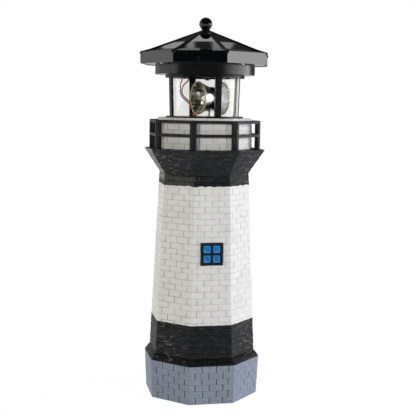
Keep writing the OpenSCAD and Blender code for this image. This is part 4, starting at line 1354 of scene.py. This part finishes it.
def sight():
    """The level directions to the right of the camera's line of sight, and along it."""
    spin = Matrix.Rotation(settings().stage.heading, 3, "Z")
    return spin @ Vector((1, 0, 0)), spin @ Vector((0, 1, 0))


def build_camera():
    sizes = settings().stage
    camera = bpy.data.cameras.new("camera")
    camera.lens = sizes.lens
    camera.clip_start, camera.clip_end = CLIPPING
    holder = add_object("camera", camera)
    turns = ((sizes.heading, "Z"), (math.pi / 2 - sizes.pitch, "X"), (sizes.roll, "Z"))
    pose = Matrix.Translation(sizes.eye)
    for angle, axis in turns:
        pose @= Matrix.Rotation(angle, 4, axis)
    holder.matrix_world = pose
    bpy.context.scene.camera = holder


def build_floor():
    """A plain pale floor that shows white to the camera and keeps a soft shadow."""
    half = settings().stage.floor_side / 2
    corners = [(x * half, y * half, 0) for x, y in ((-1, -1), (1, -1), (1, 1), (-1, 1))]
    mesh = bpy.data.meshes.new("floor")
    mesh.from_pydata(corners, [], [(0, 1, 2, 3)])
    finish = Finish("floor_white")
    pale = finish.mix(finish.noise(0.4, 2) * 0.1, [0.86] * 3, [0.82] * 3)
    matt = finish.node("ShaderNodeBsdfDiffuse", None, {"Color": pale})
    choices, values = {"operation": "LENGTH"}, {0: finish.place()}
    away = finish.node("ShaderNodeVectorMath", choices, values, "Value")
    bright = away.ramp(0.2, 1.6, 1.115, 1.2)
    glow = finish.node("ShaderNodeEmission", None, {"Color": (1, 1, 1), "Strength": bright})
    camera, glossy, through = map(finish.ray, SEEN_RAYS)
    seen = camera.either(glossy).either(through)
    shader = finish.node("ShaderNodeMixShader", None, {0: seen * 0.85, 1: matt, 2: glow})
    finish.node("ShaderNodeOutputMaterial", None, {"Surface": shader})
    mesh.materials.append(finish.owner)
    add_object("floor", mesh)


def build_world():
    """White to the eye and through the cylinder, and a studio of its own in reflections."""
    right, ahead = sight()
    world = bpy.data.worlds.new("studio")
    bpy.context.scene.world = world
    finish = Finish("studio", world)
    camera, glossy, through = map(finish.ray, SEEN_RAYS)
    direction = finish.node("ShaderNodeTexCoord", output="Generated")
    deep = finish.along(direction, tuple(ahead))
    across = finish.along(direction, tuple(right))
    rise = finish.axis("Z", direction)

    azimuth = across.maths("ARCTAN2", across, deep * -1)
    level = rise.band(-0.3, 0.14, 0.04)
    reflected = rise.ramp(0.27, 0.36, 0.14, 0.03) * deep.ramp(0.0, 0.35) + 0.02
    left_light = azimuth.ramp(-2.3, -1.2, 0.6, 2.6) * level
    left_grey = rise.band(-0.8, 0.6, 0.15) * 0.4
    reflected += azimuth.band(-2.6, -1.15, 0.12) * left_light.either(left_grey)
    reflected += azimuth.ramp(0.65, 1.3) * azimuth.ramp(2.0, 2.3, 1.0, 0.0) * level * 6.3
    for low_x, high_x, low_z, high_z, strength in CARDS:
        card = across.band(low_x, high_x, CARD_EDGE) * rise.band(low_z, high_z, CARD_EDGE)
        reflected += card * deep.ramp(0.0, 0.3) * strength

    seen = camera.either(through * deep.ramp(0.8, 0.85))
    other = glossy * reflected + (1 - glossy) * AMBIENT
    values = {"Color": (1, 1, 1), "Strength": seen + (1 - seen) * other}
    glow = finish.node("ShaderNodeBackground", None, values)
    finish.node("ShaderNodeOutputWorld", None, {"Surface": glow})


def build_lamps():
    """Soft lamps round the ornament, which no mirror shows."""
    right, ahead = sight()
    for name, degrees, height, watts, width, tall, colour in LAMPS:
        around = math.radians(degrees)
        out = right * math.sin(around) - ahead * math.cos(around)
        spot = out * settings().stage.lamp_distance + Vector((0, 0, height))
        lamp = bpy.data.lights.new(name, "AREA")
        lamp.shape = "RECTANGLE"
        lamp.size, lamp.size_y = width, tall
        lamp.energy, lamp.color = watts, colour
        holder = add_object(name, lamp)
        holder.location = spot
        holder.rotation_euler = (LAMP_AIM - spot).to_track_quat("-Z", "Y").to_euler()
        holder.visible_glossy = holder.visible_camera = False


# ---- operators


class LIGHTHOUSE_OT_stage(bpy.types.Operator):
    """Sets up the camera, the floor, the white backdrop and the soft lamps"""

    bl_idname = "lighthouse.stage"
    bl_label = "Stage"

    def execute(self, context):
        build_camera()
        build_floor()
        build_world()
        build_lamps()
        return {"FINISHED"}


class LIGHTHOUSE_OT_tower(bpy.types.Operator):
    """Builds the cast tower with its brickwork"""

    bl_idname = "lighthouse.tower"
    bl_label = "Brick tower"

    def execute(self, context):
        build_casting()
        return {"FINISHED"}


class LIGHTHOUSE_OT_window(bpy.types.Operator):
    """Builds the window's frame and its four panes"""

    bl_idname = "lighthouse.window"
    bl_label = "Window"

    def execute(self, context):
        build_window_frame()
        build_panes()
        return {"FINISHED"}


class LIGHTHOUSE_OT_gallery(bpy.types.Operator):
    """Rounds and paints the gallery's railing"""

    bl_idname = "lighthouse.gallery"
    bl_label = "Gallery railing"

    def execute(self, context):
        dress("gallery")
        return {"FINISHED"}


class LIGHTHOUSE_OT_lantern(bpy.types.Operator):
    """Builds the clear cylinder and its leads, and finishes the frame that holds them"""

    bl_idname = "lighthouse.lantern"
    bl_label = "Lantern"

    def execute(self, context):
        build_clear_cylinder()
        build_lead("red_lead", RED_ROUTE, "lead_red")
        build_lead("black_lead", BLACK_ROUTE, "lead_black")
        dress("lantern")
        return {"FINISHED"}


class LIGHTHOUSE_OT_rotor(bpy.types.Operator):
    """Builds the reflectors, and finishes the hub, lamps, shaft and slip ring"""

    bl_idname = "lighthouse.rotor"
    bl_label = "Rotor"

    def execute(self, context):
        build_reflectors()
        dress("rotor")
        return {"FINISHED"}


class LIGHTHOUSE_OT_roof(bpy.types.Operator):
    """Finishes the roof, its solar cells and the housing under it"""

    bl_idname = "lighthouse.roof"
    bl_label = "Roof and housing"

    def execute(self, context):
        dress("roof")
        return {"FINISHED"}


class LIGHTHOUSE_OT_inside(bpy.types.Operator):
    """Finishes the pieces inside the housing and the drive in the plug"""

    bl_idname = "lighthouse.inside"
    bl_label = "Inner pieces"

    def execute(self, context):
        dress("inside")
        return {"FINISHED"}


class LIGHTHOUSE_PT_pieces(bpy.types.Panel):
    """Lists the ornament's groups of pieces"""

    bl_idname = "LIGHTHOUSE_PT_pieces"
    bl_label = "Garden lighthouse"
    bl_space_type = "VIEW_3D"
    bl_region_type = "UI"
    bl_category = "Lighthouse"

    def draw(self, context):
        for operator in OPERATORS:
            self.layout.operator(operator.bl_idname)


OPERATORS = (
    LIGHTHOUSE_OT_stage,
    LIGHTHOUSE_OT_tower,
    LIGHTHOUSE_OT_window,
    LIGHTHOUSE_OT_gallery,
    LIGHTHOUSE_OT_lantern,
    LIGHTHOUSE_OT_rotor,
    LIGHTHOUSE_OT_roof,
    LIGHTHOUSE_OT_inside,
)
CLASSES = (*GROUPS.values(), LighthouseSettings, *OPERATORS, LIGHTHOUSE_PT_pieces)


def register():
    for item in CLASSES:
        bpy.utils.register_class(item)
    bpy.types.Scene.lighthouse = PointerProperty(type=LighthouseSettings)


def unregister():
    del bpy.types.Scene.lighthouse
    for item in reversed(CLASSES):
        bpy.utils.unregister_class(item)


def main():
    register()
    bpy.context.scene.view_settings.view_transform = "Standard"
    bpy.ops.lighthouse.stage()
    bpy.ops.lighthouse.tower()
    bpy.ops.lighthouse.window()
    bpy.ops.lighthouse.gallery()
    bpy.ops.lighthouse.lantern()
    bpy.ops.lighthouse.rotor()
    bpy.ops.lighthouse.roof()
    bpy.ops.lighthouse.inside()


if __name__ == "__main__":
    main()
